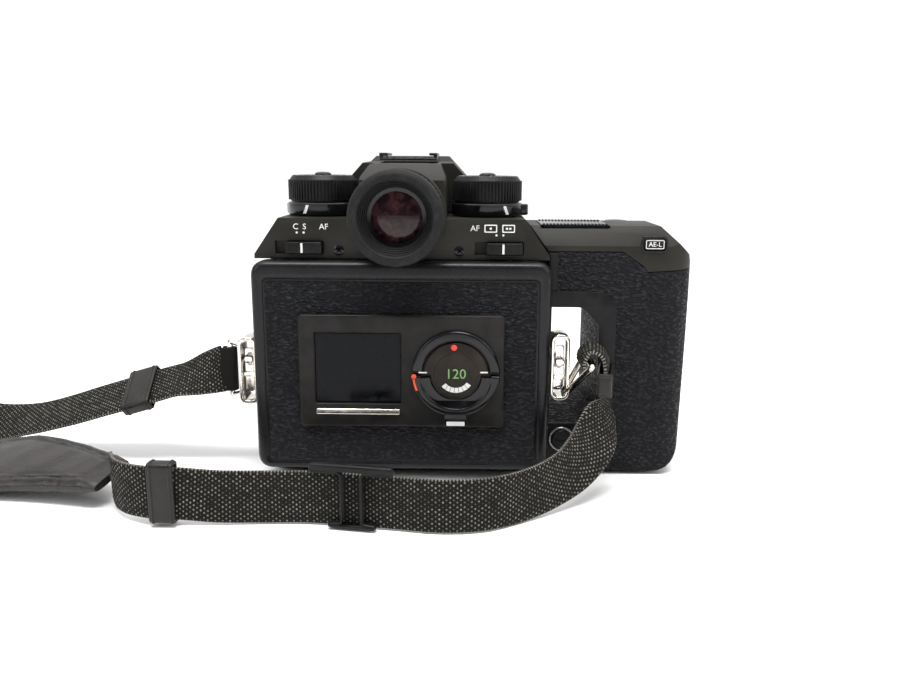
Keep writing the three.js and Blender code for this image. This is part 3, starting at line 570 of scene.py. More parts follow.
# ------------------------------------------------------------------ camera, light and floor
def room_light():
    """White sweep behind and above the camera body, and a dimmer room on the near side."""
    world = bpy.data.worlds.new("studio")
    bpy.context.scene.world = world
    world.use_nodes = True
    tree = world.node_tree
    directions = tree.nodes.new("ShaderNodeTexCoord")
    split = tree.nodes.new("ShaderNodeSeparateXYZ")
    tree.links.new(directions.outputs["Generated"], split.inputs[0])
    y, z = [Sock(tree, out) for out in split.outputs[1:]]
    back = y.ramp(-0.30, 0.40, 0.045, 1.0)
    above = z.ramp(0.35, 0.9, 0.0, 0.6)
    tree.links.new((back + above).at_most(1.05).link, tree.nodes["Background"].inputs["Strength"])
    tree.nodes["Background"].inputs["Color"].default_value = (1, 1, 1, 1)
    bpy.context.scene.view_settings.view_transform = "Standard"


def studio():
    """Camera at eye level behind the film back, a pale floor and soft light all round."""
    lens = bpy.data.cameras.new("viewer")
    viewer = bpy.data.objects.new("viewer", lens)
    bpy.context.scene.collection.objects.link(viewer)
    yaw, pitch, roll = 0.0135, 0.2135, 0.006
    forward = Vector((-math.sin(yaw) * math.cos(pitch), math.cos(yaw) * math.cos(pitch), -math.sin(pitch)))
    right = Vector((math.cos(yaw), math.sin(yaw), 0))
    up = right.cross(forward)
    right, up = (right * math.cos(roll) + up * math.sin(roll), up * math.cos(roll) - right * math.sin(roll))
    turn = Matrix((right, up, -forward)).transposed().to_4x4()
    viewer.matrix_world = Matrix.Translation(Vector((23.3, -306.9, 108.3)) * MM) @ turn
    lens.sensor_width = 36
    lens.lens = 33.3
    lens.clip_start = 0.01
    bpy.context.scene.camera = viewer

    deselect()
    bpy.ops.mesh.primitive_plane_add(size=8, location=(0, 0, -0.0005))
    floor = bpy.context.object
    floor.name = "pale_floor"
    paper = Finish("pale paper", (0.92, 0.92, 0.92), 0.9)
    floor.data.materials.append(paper.material)

    room_light()

    def panel(name, place, aim, size, power, tint=(1, 1, 1)):
        light = bpy.data.lights.new(name, "AREA")
        light.shape = "RECTANGLE"
        light.size, light.size_y = size
        light.energy = power
        light.color = tint
        lamp = bpy.data.objects.new(name, light)
        bpy.context.scene.collection.objects.link(lamp)
        lamp.location = place
        lamp.rotation_euler = (Vector(aim) - Vector(place)).to_track_quat("-Z", "Y").to_euler()

    panel("top_light", (0.0, -0.25, 0.8), (0, 0, 0.04), (0.6, 0.15), 7)
    sky = bpy.data.lights.new("soft_overhead", "SUN")
    sky.energy, sky.angle = 1.35, math.radians(70)
    overhead = bpy.data.objects.new("soft_overhead", sky)
    bpy.context.scene.collection.objects.link(overhead)
    panel("right_light", (0.75, -0.45, 0.5), (0.03, 0, 0.05), (0.3, 0.5), 2.5, (1, 0.97, 0.93))
    panel("left_light", (-0.7, -0.55, 0.45), (-0.03, 0, 0.05), (0.25, 0.5), 2.0, (0.95, 0.97, 1))


# ------------------------------------------------------------------ neck strap
STRAP_WIDTH = 16.5
ON_EDGE = 8.35
RIGHT_ROUTE = [
    (60.3, -29.8, 42.2, -1, 0, 0), (60.4, -29.8, 44.6, -1, 0, 0.3), (63, -30, 47.8, 0, 0, 1),
    (66.8, -30.6, 46.4, 0.9, -0.1, 0.8), (68.5, -31, 42.8, 1, -0.2, 0), (68.5, -31, 37.6, 1, -0.2, 0),
    (68.5, -31.1, 32, 1, -0.2, 0), (68, -33.2, 27, 0.8, -0.6, 0.1), (66, -37.6, 22.4, 0.4, -0.9, 0.1),
    (62.6, -42.4, 17.2, 0.1, -1, 0), (57, -48.4, 12.6, 0.1, -1, 0), (49.6, -55, 9.8, 0.3, -1, 0),
    (40.4, -62, ON_EDGE, 0.4, -1, 0), (28, -69.6, ON_EDGE, 0.5, -1, 0), (15, -71.4, ON_EDGE, -0.1, -1, 0),
    (2, -69.4, ON_EDGE, -0.17, -1, 0), (-11.4, -67.1, ON_EDGE, -0.17, -1, 0),
    (-25, -65.2, ON_EDGE, -0.1, -1, 0), (-40, -65.6, ON_EDGE, 0.1, -1, 0), (-53, -66.8, 8.8, 0.1, -1, 0),
    (-64, -67.4, 9.8, 0, -1, 0), (-74, -67.2, 10.1, 0, -1, 0), (-82, -63.4, 9.8, -0.5, -1, 0),
    (-87.4, -57.6, 9.2, -0.7, -1, 0), (-91, -51, 8.8, -0.8, -1, 0)]
LEFT_ROUTE = [
    (-64.7, -12.4, 35.2, 0.1, -1, 0.3), (-72, -10.8, 33.1, 0.15, -0.8, 0.6),
    (-84, -8.8, 29.5, 0.2, -0.5, 0.85), (-97, -7.6, 25.5, 0.2, -0.5, 0.85),
    (-110, -6.4, 21.5, 0.2, -0.5, 0.85), (-124, -4.6, 17, 0.2, -0.5, 0.85),
    (-139, -1.6, 12.6, 0.2, -0.5, 0.85), (-155, 2, 9.4, 0.15, -0.65, 0.75),
    (-175, 6, 8.8, 0.15, -0.9, 0.4),
    (-198, 11, ON_EDGE, 0.2, -1, 0), (-224, 17, ON_EDGE, 0.2, -1, 0), (-250, 22, ON_EDGE, 0.1, -1, 0),
    (-276, 24, ON_EDGE, 0, -1, 0), (-298, 20, ON_EDGE, -0.4, -1, 0), (-312, 8, ON_EDGE, -1, -0.7, 0),
    (-314, -8, ON_EDGE, -1, 0.2, 0), (-304, -19, ON_EDGE, -0.6, 1, 0), (-291, -22, ON_EDGE, -0.1, 1, 0)]
PAD_ROUTE = [
    (-91.6, -50.4, 8.6, 0.15, -0.4, 1), (-112, -41.5, 8, 0.1, -0.3, 1), (-130, -36, 7.4, 0.05, -0.25, 1),
    (-150, -31.5, 5.2, 0, -0.1, 1), (-175, -28.5, 3, 0, 0, 1), (-200, -27, 3, 0, 0, 1),
    (-225, -26, 3, 0, 0, 1), (-250, -25, 3, 0, 0, 1), (-270, -24, 3, 0, 0, 1), (-284, -23, 3, 0, 0, 1)]


class Route:
    """Smooth curve through [x, y, z, facing] points, walked by distance in millimetres."""

    def __init__(self, points):
        self.centres = [Vector(p[:3]) for p in points]
        self.facings = [Vector(p[3:]) for p in points]
        samples = 40 * (len(points) - 1)
        self.table = [(0.0, 0.0)]
        before = self.curve(self.centres, 0)
        for i in range(1, samples + 1):
            here = self.curve(self.centres, i / samples)
            self.table.append((self.table[-1][0] + (here - before).length, i / samples))
            before = here
        self.length = self.table[-1][0]

    @staticmethod
    def curve(points, t):
        """Centripetal Catmull-Rom point, t running evenly over the given points."""
        place = min(t * (len(points) - 1), len(points) - 1 - 1e-9)
        i = int(place)
        w = place - i
        p1, p2 = points[i], points[i + 1]
        p0 = points[i - 1] if i > 0 else p1 * 2 - p2
        p3 = points[i + 2] if i + 2 < len(points) else p2 * 2 - p1
        d0, d1, d2 = [max((b - a).length, 1e-6) ** 0.5 for a, b in ((p0, p1), (p1, p2), (p2, p3))]
        m1 = ((p1 - p0) / d0 - (p2 - p0) / (d0 + d1) + (p2 - p1) / d1) * d1
        m2 = ((p2 - p1) / d1 - (p3 - p1) / (d1 + d2) + (p3 - p2) / d2) * d1
        return (p1 + m1 * w + (p2 * 3 - p1 * 3 - m1 * 2 - m2) * w ** 2
                + (p1 * 2 - p2 * 2 + m1 + m2) * w ** 3)

    def frame(self, distance):
        """Centre, across and face directions at a distance along the route."""
        low, high = 0, len(self.table) - 1
        while high - low > 1:
            middle = (low + high) // 2
            low, high = (middle, high) if self.table[middle][0] <= distance else (low, middle)
        (d0, t0), (d1, t1) = self.table[low], self.table[high]
        t = t0 + (t1 - t0) * (distance - d0) / max(d1 - d0, 1e-9)
        step = 0.002
        tangent = (self.curve(self.centres, min(1, t + step))
                   - self.curve(self.centres, max(0, t - step))).normalized()
        across = self.curve(self.facings, t).cross(tangent).normalized()
        return self.curve(self.centres, t), across, tangent.cross(across).normalized()

    def points(self, count):
        return [self.frame(self.length * i / (count - 1))[0] * MM for i in range(count)]


def scatter(i, j):
    """Repeatable number from 0 to 1 for a cell of the weave."""
    value = math.sin(i * 127.1 + j * 311.7) * 43758.5453
    return value - math.floor(value)


def swept(name, route, section_at, spacing, columns):
    """Closed skin along a route; section_at gives (across, out, value) for a place on it."""
    rings = max(2, int(route.length / spacing))
    mesh = bmesh.new()
    # per-vertex value layer: the painted highlight for the nylon colour, zero on the pad
    values = mesh.verts.layers.float.new("tuft_and_sheen")
    uv = mesh.loops.layers.uv.new("strap")
    rows, flat = [], {}
    for k in range(rings + 1):
        distance = route.length * k / rings
        centre, across, out = route.frame(distance)
        row = []
        for c in range(columns):
            side, lift, value = section_at(distance, c / columns, route.length)
            vert = mesh.verts.new((centre + across * side + out * lift) * MM)
            vert[values] = value
            flat[vert] = (distance, side)
            row.append(vert)
        rows.append(row)
    faces = []
    for k in range(rings):
        for c in range(columns):
            d = (c + 1) % columns
            faces.append(mesh.faces.new((rows[k][c], rows[k][d], rows[k + 1][d], rows[k + 1][c])))
    faces.append(mesh.faces.new(list(reversed(rows[0]))))
    faces.append(mesh.faces.new(rows[-1]))
    for face in faces:
        for loop in face.loops:
            loop[uv].uv = flat[loop.vert]
    bmesh.ops.recalc_face_normals(mesh, faces=mesh.faces)
    data = bpy.data.meshes.new(name)
    mesh.to_mesh(data)
    mesh.free()
    piece = bpy.data.objects.new(name, data)
    bpy.context.scene.collection.objects.link(piece)
    return piece


def weave_section(distance, turn, length):
    """Basket weave on both faces of a flat strap with tight rolled edges; the third value is a painted
    highlight for the nylon colour.
    """
    half, thick = STRAP_WIDTH / 2, 0.62
    angle = turn * 4
    leg, part = int(angle) % 4, angle - int(angle)
    if leg in (0, 2):
        side = (part * 2 - 1) * half * (1 if leg == 0 else -1)
        sign = -1 if leg == 0 else 1
    else:
        side, sign = (half if leg == 1 else -half), (part * 2 - 1) * (1 if leg == 1 else -1)
    if leg in (1, 3):
        # painted highlight along the rolled edges
        return side, sign * thick * 0.7, 0.85 * abs(math.sin(math.pi * distance / 1.05))
    row = math.floor(distance / 1.05)
    shift = 0.5 if row % 2 else 0.0
    place = side / 1.5 + shift
    cell = math.floor(place)
    along, beside = abs(math.sin(math.pi * distance / 1.05)), abs(math.sin(math.pi * place))
    tuft_and_sheen = along ** 0.7 * beside ** 0.7
    edge = min(1.0, (half - abs(side)) / 1.3)
    # shade: painted highlight on the tuft tops and near the rolled edges, carried to the nylon colour per
    # vertex
    shade = (along * beside) ** 1.2 * (0.74 + 0.26 * scatter(row, cell * 2 + (1 if sign > 0 else 0)))
    shade = max(shade, (1 - edge) * along * 0.9)
    return side, sign * (thick * (0.72 + 0.28 * edge) + 0.24 * tuft_and_sheen * edge), shade


def even_columns(count):
    """Shares the ring's points: most on the two faces, few on the two edges."""
    face = (count - 6) // 2
    turns = [i / face for i in range(face)] + [1 + i / 3 for i in range(3)]
    turns += [2 + i / face for i in range(face)] + [3 + i / 3 for i in range(3)]
    return [t / 4 for t in turns]


def webbing(name, route, cad_node, columns=98, spacing=0.35):
    turns = even_columns(columns)
    piece = swept(name, route, lambda d, s, n: weave_section(d, turns[round(s * len(turns))], n),
                  spacing, len(turns))
    finish(piece, NYLON, "webbing", "camera", cad_node, angle=60)
    return piece


def pad_section(distance, turn, length):
    """Crowned leather pad with a stitched channel and a raised welt along each side."""
    half, thick = 16.6, 2.3
    end = max(0.0, min(distance, length - distance))
    half *= 0.46 + 0.54 * min(1.0, end / 44.0) ** 0.9
    angle = turn * 2 * math.pi
    side = math.copysign(abs(math.cos(angle)) ** 0.42, math.cos(angle)) * half
    lift = math.copysign(abs(math.sin(angle)) ** 0.62, math.sin(angle)) * thick
    from_edge = half - abs(side)
    channel = math.exp(-((from_edge - 4.0) / 0.75) ** 2)
    welt = math.exp(-((from_edge - 2.0) / 1.1) ** 2)
    soft = 0.16 * math.sin(distance * 0.21 + side * 0.3) + 0.1 * math.sin(distance * 0.53 - side * 0.22)
    crown = 0.45 * (1 - (side / half) ** 2)
    lift += math.copysign(crown + 0.35 * welt - 0.75 * channel + soft * 0.6, lift) * min(1, end / 2)
    lift *= 0.55 + 0.45 * min(1.0, end / 6)
    return side, lift, 0.0


def band(name, x, y, z, heading, tilt, length, cad_node, lean=0):
    """Folded leather keeper round the strap with pressed lines near its two edges."""
    half_width, half_thick = STRAP_WIDTH / 2 + 0.4, 0.8 + 0.75
    wall = 0.9
    outer = rounded(box_outline(-half_thick - wall, half_thick + wall, -half_width - wall,
                                half_width + wall), 1.6)
    inner = rounded(box_outline(-half_thick, half_thick, -half_width, half_width), 0.7)
    body = slab(name, [outer, inner], -length / 2, length / 2, "x", edge=0.45)
    ribs = []
    rib_outer = rounded(box_outline(-half_thick - wall - 0.22, half_thick + wall + 0.22,
                                    -half_width - wall - 0.22, half_width + wall + 0.22), 1.7)
    for place in (-0.36, 0.36):
        middle = place * length
        ribs.append(slab(name + "_rib", [rib_outer, inner], middle - 0.35, middle + 0.35, "x", edge=0.2))
    piece = join(name, body, *ribs)
    piece.matrix_world = (Matrix.Translation(Vector((x, y, z)) * MM)
                          @ Matrix.Rotation(math.radians(heading), 4, "Z")
                          @ Matrix.Rotation(math.radians(tilt), 4, "Y")
                          @ Matrix.Rotation(math.radians(lean), 4, "X"))
    bake_place(piece)
    return finish(piece, BAND_LEATHER, "smooth_leather", "camera", cad_node)


def slider():
    """Moulded slider plate against the strap: rounded top bar, stem and foot."""
    face, back = -3.6, -1.2
    outline = ([(-7.5, 0.0), (7.5, 0.0), (7.5, 1.6), (3.6, 1.9), (3.6, 17.1), (13.0, 17.1)]
               + [(13.0, 20.1), (-13.0, 20.1), (-13.0, 17.1), (-3.6, 17.1), (-3.6, 1.9), (-7.5, 1.6)])
    radii = [1.0, 1.0, 0.7, 0.8, 1.2, 0.5, 2.6, 2.6, 0.5, 1.2, 0.8, 0.7]
    piece = slab("slider_plate", rounded(outline, radii), face, back, "y", edge=0.85, segments=4)
    piece.matrix_world = (Matrix.Translation(Vector((-11.4, -67.1, 0.2)) * MM)
                          @ Matrix.Rotation(math.radians(-9.6), 4, "Z"))
    bake_place(piece)
    return finish(piece, PLASTIC, "black_plastic", "camera", "tri_glide")


def neck_strap():
    right_route, left_route, pad_route = Route(RIGHT_ROUTE), Route(LEFT_ROUTE), Route(PAD_ROUTE)
    right = webbing("strap_webbing_right", right_route, "webbing_right")
    left = webbing("strap_webbing_left", left_route, "webbing_left")
    glide = slider()
    right_band = band("strap_keeper_right", 68.5, -31.1, 37.2, 79, 90, 8, "keeper_right")
    left_band = band("strap_keeper_left", -97, -7.6, 25.5, -5.3, -17, 11, "keeper_left", -57)
    lower_band = band("strap_keeper_lower", -69, -67.4, 10.35, -1, 0, 8, "keeper_lower")
    pad = swept("leather_shoulder_pad", pad_route, pad_section, 1.0, 96)
    finish(pad, PAD_LEATHER, "smooth_leather", "camera", "shoulder_pad", angle=60)
    tuple(right_route.points(2)[0])
    [tuple(p) for p in right_route.points(60)]
    tuple(left_route.points(2)[0])
    [tuple(p) for p in left_route.points(60)]


# ------------------------------------------------------------------ film back
LATCH_X, LATCH_Z = 18.4, 38.5
LATCH_FACE = -32.1


def film_back():
    rim_outer = rounded(box_outline(-50, 50, 3.5, 75.7), 5.5, 10)
    rim_inner = rounded(box_outline(-45.3, 45.3, 7.2, 69.0), 1.2, 4)
    rim = slab("rim", [rim_outer, rim_inner], -29.0, -20.3, edge=2.25, segments=7)
    floor = slab("floor", rounded(box_outline(-47, 47, 5.5, 73), 3), -28.3, -24.5)
    seam = slab("seam", rounded(box_outline(-49.2, 49.2, 4.3, 74.9), 5), -20.9, -20.3)
    cover = join("film_back_shell", rim, floor, seam)
    finish(cover, ENAMEL, "black_plastic", "film_back", "film_back_cover")

    skin = slab("film_back_leatherette", rounded(box_outline(-45.25, 45.25, 7.25, 68.95), 1.1, 4),
                -28.95, -28.25, edge=0.18)
    finish(skin, LEATHERETTE, "leather", "film_back", "film_back_leather")

    outline = rounded(box_outline(-34.4, 34.6, 19.7, 58.2), 1.6, 6)
    frame_hole = rounded(box_outline(-28.9, -0.1, 27.8, 52.0), 0.5, 4)
    plate = slab("plate", [outline, frame_hole], -30.5, -28.3, edge=0.7, segments=4)
    backing = slab("backing", rounded(box_outline(-33, 16, 22, 56), 1), -29.2, -28.3)
    memo = join("memo_holder", plate, backing)
    finish(memo, MEMO_GREY, "black_plastic", "film_back", "memo_plate")
    pane = slab("memo_window_pane", rounded(box_outline(-28.8, -0.2, 27.9, 51.9), 0.4, 3), -29.5, -29.1,
                edge=0.1)
    finish(pane, WINDOW, "glass", "film_back")
    strip = slab("memo_chrome_bar", rounded(box_outline(-28.7, -0.5, 24.2, 26.2), 0.5, 4), -31.5, -30.4,
                 edge=0.4)
    finish(strip, NICKEL, "nickel", "film_back", "memo_chrome_strip")


def around_latch(points):
    return [(LATCH_X + x, LATCH_Z + z) for x, z in points]


def decal(name, outline, face, material, slot, body, thick=0.05, axis="y"):
    """Printed or inlaid mark that stands a hair proud of a face."""
    piece = slab(name, outline, face - thick, face + 0.05, axis)
    return finish(piece, material, slot, body)


def latch():
    face = LATCH_FACE
    outer, inner = 14.8, 11.1
    upper = around_latch(arc(0, 0, outer, 1, 179, 44) + arc(0, 0, inner, 179, 1, 40))
    upper_ring = slab("upper_ring", upper, face, -30.0, edge=1.0, segments=5)
    plate = around_latch(arc(0, 0, 10.7, 1, 179, 40) + arc(0, 0, 8.4, 181, 359, 40))
    disc = slab("disc", plate, face + 0.25, -30.8, edge=0.25)
    finish(join("latch_hub", disc), DISC_BROWN, "disc_brown", "latch", "latch_disc")
    raised = lathe("latch_number_disc", [[0, 0.12], [6.5, 0.12], [6.9, 0.0], [7.2, 0.05], [7.3, 0.3],
                                         [7.3, 1.0], [0, 1.0]], "y", (LATCH_X, face, LATCH_Z), 96)
    finish(raised, DISC_BROWN, "disc_brown", "latch")
    finish(join("latch_upper_ring", upper_ring), GLOSS, "black_plastic", "latch")

    lower = around_latch(arc(0, 0, outer, 181.5, 358.5, 44) + arc(0, 0, 11.7, 358.5, 181.5, 44))
    lower_ring = slab("lower_ring", lower, face, -30.0, edge=1.0, segments=5)
    web = around_latch(arc(0, 0, 12.4, 186, 354, 44) + arc(0, 0, 8.7, 354, 186, 44))
    lower_web = slab("lower_web", web, face + 0.3, -30.8, edge=0.25)
    tab = slab("tab", rounded(around_latch(box_outline(-4.0, 4.0, -18.1, -13.4)), [1.0, 1.0, 0.2, 0.2]),
               face, -30.8, edge=0.4)
    finish(join("latch_folding_bail", lower_ring, lower_web, tab), GLOSS, "black_plastic", "bail",
           "latch_bail")

    white_tab = around_latch(box_outline(-3.05, 3.05, -17.75, -16.3))
    decal("bail_white_line", rounded(white_tab, 0.25), face, WHITE, None, "bail")
    for name, low, high, z in (("left", -12.4, -9.6, 0.7), ("right", 8.2, 10.7, 0.9)):
        tick = around_latch(box_outline(low, high, z - 0.22, z + 0.22))
        decal("hinge_tick_" + name, tick, face, WHITE, None, "latch", thick=0.1)
    dot = around_latch(arc(-0.6, 9.2, 1.0, 0, 360, 24)[:-1])
    decal("latch_red_dot", dot, face + 0.25, RED, None, "latch")
    number = words("latch_number", "120", 4.7, LATCH_X, face + 0.12, LATCH_Z + 0.1)
    finish(number, GREEN_WHITE, None, "latch")
    bars = []
    for k in range(7):
        a, b = 221 + k * 15, 221 + k * 15 + 13.4
        bars.append(around_latch(arc(0, 0, 6.2, a, b, 5) + arc(0, 0, 4.5, b, a, 5)))
    decal("latch_bar_pattern", bars, face + 0.12, WHITE, None, "latch")
    sweep = [around_latch(arc(0, 0, 14.5, 185, 203, 8) + arc(0, 0, 13.8, 203, 185, 8)),
             around_latch(arc(-14.0, -0.7, 0.85, 0, 360, 20)[:-1])]
    decal("latch_open_arrow", sweep, face, ORANGE, None, "latch", thick=0.12)


def words(name, text, size, x, y, z, thick=0.05):
    """Raised lettering that reads from behind the camera."""
    deselect()
    curve = bpy.data.curves.new(name, "FONT")
    curve.body = text
    curve.size = size * MM
    curve.extrude = thick * MM
    curve.resolution_u = 3
    curve.align_x, curve.align_y = "CENTER", "CENTER"
    piece = bpy.data.objects.new(name, curve)
    bpy.context.scene.collection.objects.link(piece)
    activate(piece)
    bpy.ops.object.convert(target="MESH")
    piece = bpy.context.object
    piece.matrix_world = Matrix(((1, 0, 0, x * MM), (0, 0, -1, y * MM), (0, 1, 0, z * MM), (0, 0, 0, 1)))
    return outwards(bake_place(piece))


# ------------------------------------------------------------------ top of the camera
DECK_BACK = -24.0


def recessed_switch(name, centre, body, cad_node, index):
    """Grooved slide switch with a white index in its recess."""
    low, high = centre - 6, centre + 6
    grip = slab("grip", rounded([(low, 77.9), (high, 77.9), (high, 81.7), (low, 81.7)], 0.5),
                -26.3, -22.6, edge=0.35)
    for k in range(9):
        x = low + 1.1 + k * 1.22
        rib = slab("rib", rounded([(x - 0.3, 78.3), (x + 0.3, 78.3), (x + 0.3, 81.3), (x - 0.3, 81.3)],
                                  0.15, 2), -26.4, -26.0, edge=0.09)
        grip = join(name, grip, rib)
    finish(grip, PLASTIC, "black_plastic", body, cad_node)
    line = centre + index
    decal(name + "_index", [(line - 0.35, 78.2), (line + 0.35, 78.2), (line + 0.35, 81.4),
                            (line - 0.35, 81.4)], -26.4, WHITE, None, body)


def focus_marks():
    for x, letter in ((-35.1, "C"), (-32.2, "S"), (-25.8, "AF")):
        finish(words("label_" + letter, letter, 2.7, x, DECK_BACK, 86.6), WHITE, None, "camera")
    for name, places, z in (("focus_dots", (-34.8, -32.5), 84.7), ("area_dots", (31.5, 33.8), 84.2)):
        dots = [arc(x, z, 0.36, 0, 360, 16)[:-1] for x in places]
        decal(name, dots, DECK_BACK, WHITE, None, "camera")
    finish(words("label_area", "AF", 2.7, 24.4, DECK_BACK, 86.4), WHITE, None, "camera")
    for k, x in enumerate((29.6, 35.5)):
        frame_out = rounded(box_outline(x - 2.1, x + 2.1, 85.1, 87.7), 0.3, 3)
        frame_in = rounded(box_outline(x - 1.75, x + 1.75, 85.45, 87.35), 0.2, 3)
        decal(f"area_frame_{k}", [frame_out, frame_in], DECK_BACK, WHITE, None, "camera")
        pair = [box_outline(x - 0.9, x - 0.2, 86.1, 86.7), box_outline(x + 0.2, x + 0.9, 86.1, 86.7)]
        spot = pair if k else arc(x, 86.4, 0.4, 0, 360, 12)[:-1]
        decal(f"area_spot_{k}", spot, DECK_BACK, WHITE, None, "camera")


def cross_screw(name, x, y, z, radius=1.75):
    """Pan-head cross screw seen from behind."""
    head = lathe("head", [[0, 0.1], [radius * 0.7, 0.15], [radius, 0.45], [radius, 1.2], [0, 1.2]], "y",
                 (x, y - 0.55, z), 48)
    for angle in (35, 125):
        cutter = cube("cutter", (-radius * 0.62, -0.8, -0.2), (radius * 0.62, 0.55, 0.2))
        cutter.matrix_world = (Matrix.Translation(Vector((x, y - 0.55, z)) * MM)
                               @ Matrix.Rotation(math.radians(angle), 4, "Y"))
        bake_place(cutter)
        boolean(head, cutter)
    head.name = name
    finish(head, GLOSS, "black_metal", "camera")


def top_of_camera():
    cover = refined("top_cover", 1.1, 4)
    finish(cover, PAINT, "paint", "camera", "top_cover")
    hump = refined("prism_cover", 2.6, 6)
    finish(hump, PAINT, "paint", "camera", "prism_cover")
    recessed_switch("focus_mode_slider", -32.35, "af_mode", "af_mode_switch", -0.55)
    recessed_switch("focus_area_slider", 34.2, "af_area", "af_area_switch", -0.4)
    focus_marks()
    cross_screw("deck_screw_left", -20.9, DECK_BACK, 78.9)
    cross_screw("deck_screw_right", 19.3, DECK_BACK, 78.9)
    shoe()


def shoe():
    base = slab("shoe_floor", rounded(box_outline(-10.6, 10.6, 9, 29), 0.6, 3), 108.3, 109.1, "z", 0.15)
    rails = []
    for side in (-1, 1):
        post = [(side * 10.6, 9.2), (side * 9.2, 9.2), (side * 9.2, 28.8), (side * 10.6, 28.8)]
        lip = [(side * 10.6, 9.0), (side * 7.6, 9.0), (side * 7.6, 28.6), (side * 10.6, 29.0)]
        rails.append(slab("post", rounded(post, 0.3, 2), 108.6, 110.6, "z", 0.12))
        rails.append(slab("lip", rounded(lip, 0.4, 3), 110.1, 111.0, "z", 0.22))
    for x, y, radius in ((0, 19, 1.3), (3.4, 14.6, 0.8), (-3.4, 14.6, 0.8), (3.4, 23.4, 0.8)):
        rails.append(lathe("contact", [[0, 0], [radius, 0], [radius, 0.3], [radius * 0.8, 0.45], [0, 0.45]],
                           "z", (x, y, 109.0), 32))
    spring = slab("spring", rounded(box_outline(-7.4, 7.4, 24.5, 27.5), 0.5, 3), 109.2, 109.5, "z", 0.1)
    finish(join("accessory_shoe", base, spring, *rails), BLACK_STEEL, "steel", "camera", "hot_shoe")


# ------------------------------------------------------------------ eyepiece
EYE_Z = 91.0


def eyepiece():
    eye = (0, 0, EYE_Z)
    tube = lathe("tube", [[9.2, -39.0], [12.1, -39.0], [12.4, -38.6], [12.4, -24.3], [9.2, -24.3],
                          [9.2, -39.0]], "y", eye, 96)
    collar = lathe("collar", [[12.2, -27.6], [14.6, -27.2], [15.0, -26.6], [15.0, -24.1], [12.2, -24.1],
                              [12.2, -27.6]], "y", eye, 96)
    finish(join("eyepiece_sleeve", tube, collar), PAINT, "paint", "camera", "eyepiece_tube")

    profile = [[9.2, -39.4], [9.2, -42.6]]
    for k in range(4):
        r, y = 9.35 + k * 0.52, -43.0 - k * 1.15
        profile += [[r, y], [r + 0.05, y - 0.75], [r + 0.28, y - 0.95], [r + 0.44, y - 0.7]]
    profile += [[11.3, -47.6], [11.45, -48.5], [11.9, -48.95], [12.6, -49.0], [13.3, -48.9],
                [14.1, -48.5], [14.6, -47.8], [14.75, -47.0], [14.75, -44.6], [14.35, -44.2],
                [14.35, -43.4], [14.75, -43.0], [14.75, -39.8], [14.4, -39.4], [9.2, -39.4]]
    finish(lathe("eyepiece_cup", profile, "y", eye, 120), RUBBER, "rubber", "camera", "eyecup")

    glass = lathe("eyepiece_glass", [[0, -41.1], [3, -40.95], [6, -40.5], [8.7, -39.6], [8.9, -39.3],
                                     [8.9, -36.0], [0, -35.2]], "y", eye, 96)
    finish(glass, EYE_GLASS, "glass", "camera", "eyepiece_lens")
    inner = lathe("eyepiece_inner_ring", [[8.0, -41.6], [9.15, -41.9], [9.15, -41.0], [8.3, -40.8],
                                          [8.0, -41.6]], "y", eye, 96)
    finish(inner, GLOSS, "black_plastic", "camera")

    outline = knurled(0, EYE_Z, 56, ((0.0, 14.4), (0.35, 14.4), (0.5, 13.8), (0.85, 13.8)))
    hole = arc(0, EYE_Z, 12.7, 0, 360, 72)[:-1]
    knob = slab("dioptre_ring", [outline, hole], -36, -29, "y", edge=0.3)
    finish(knob, RUBBER, "rubber", "diopter", "diopter_ring")


# ------------------------------------------------------------------ dials
DIAL_Y = -6.0


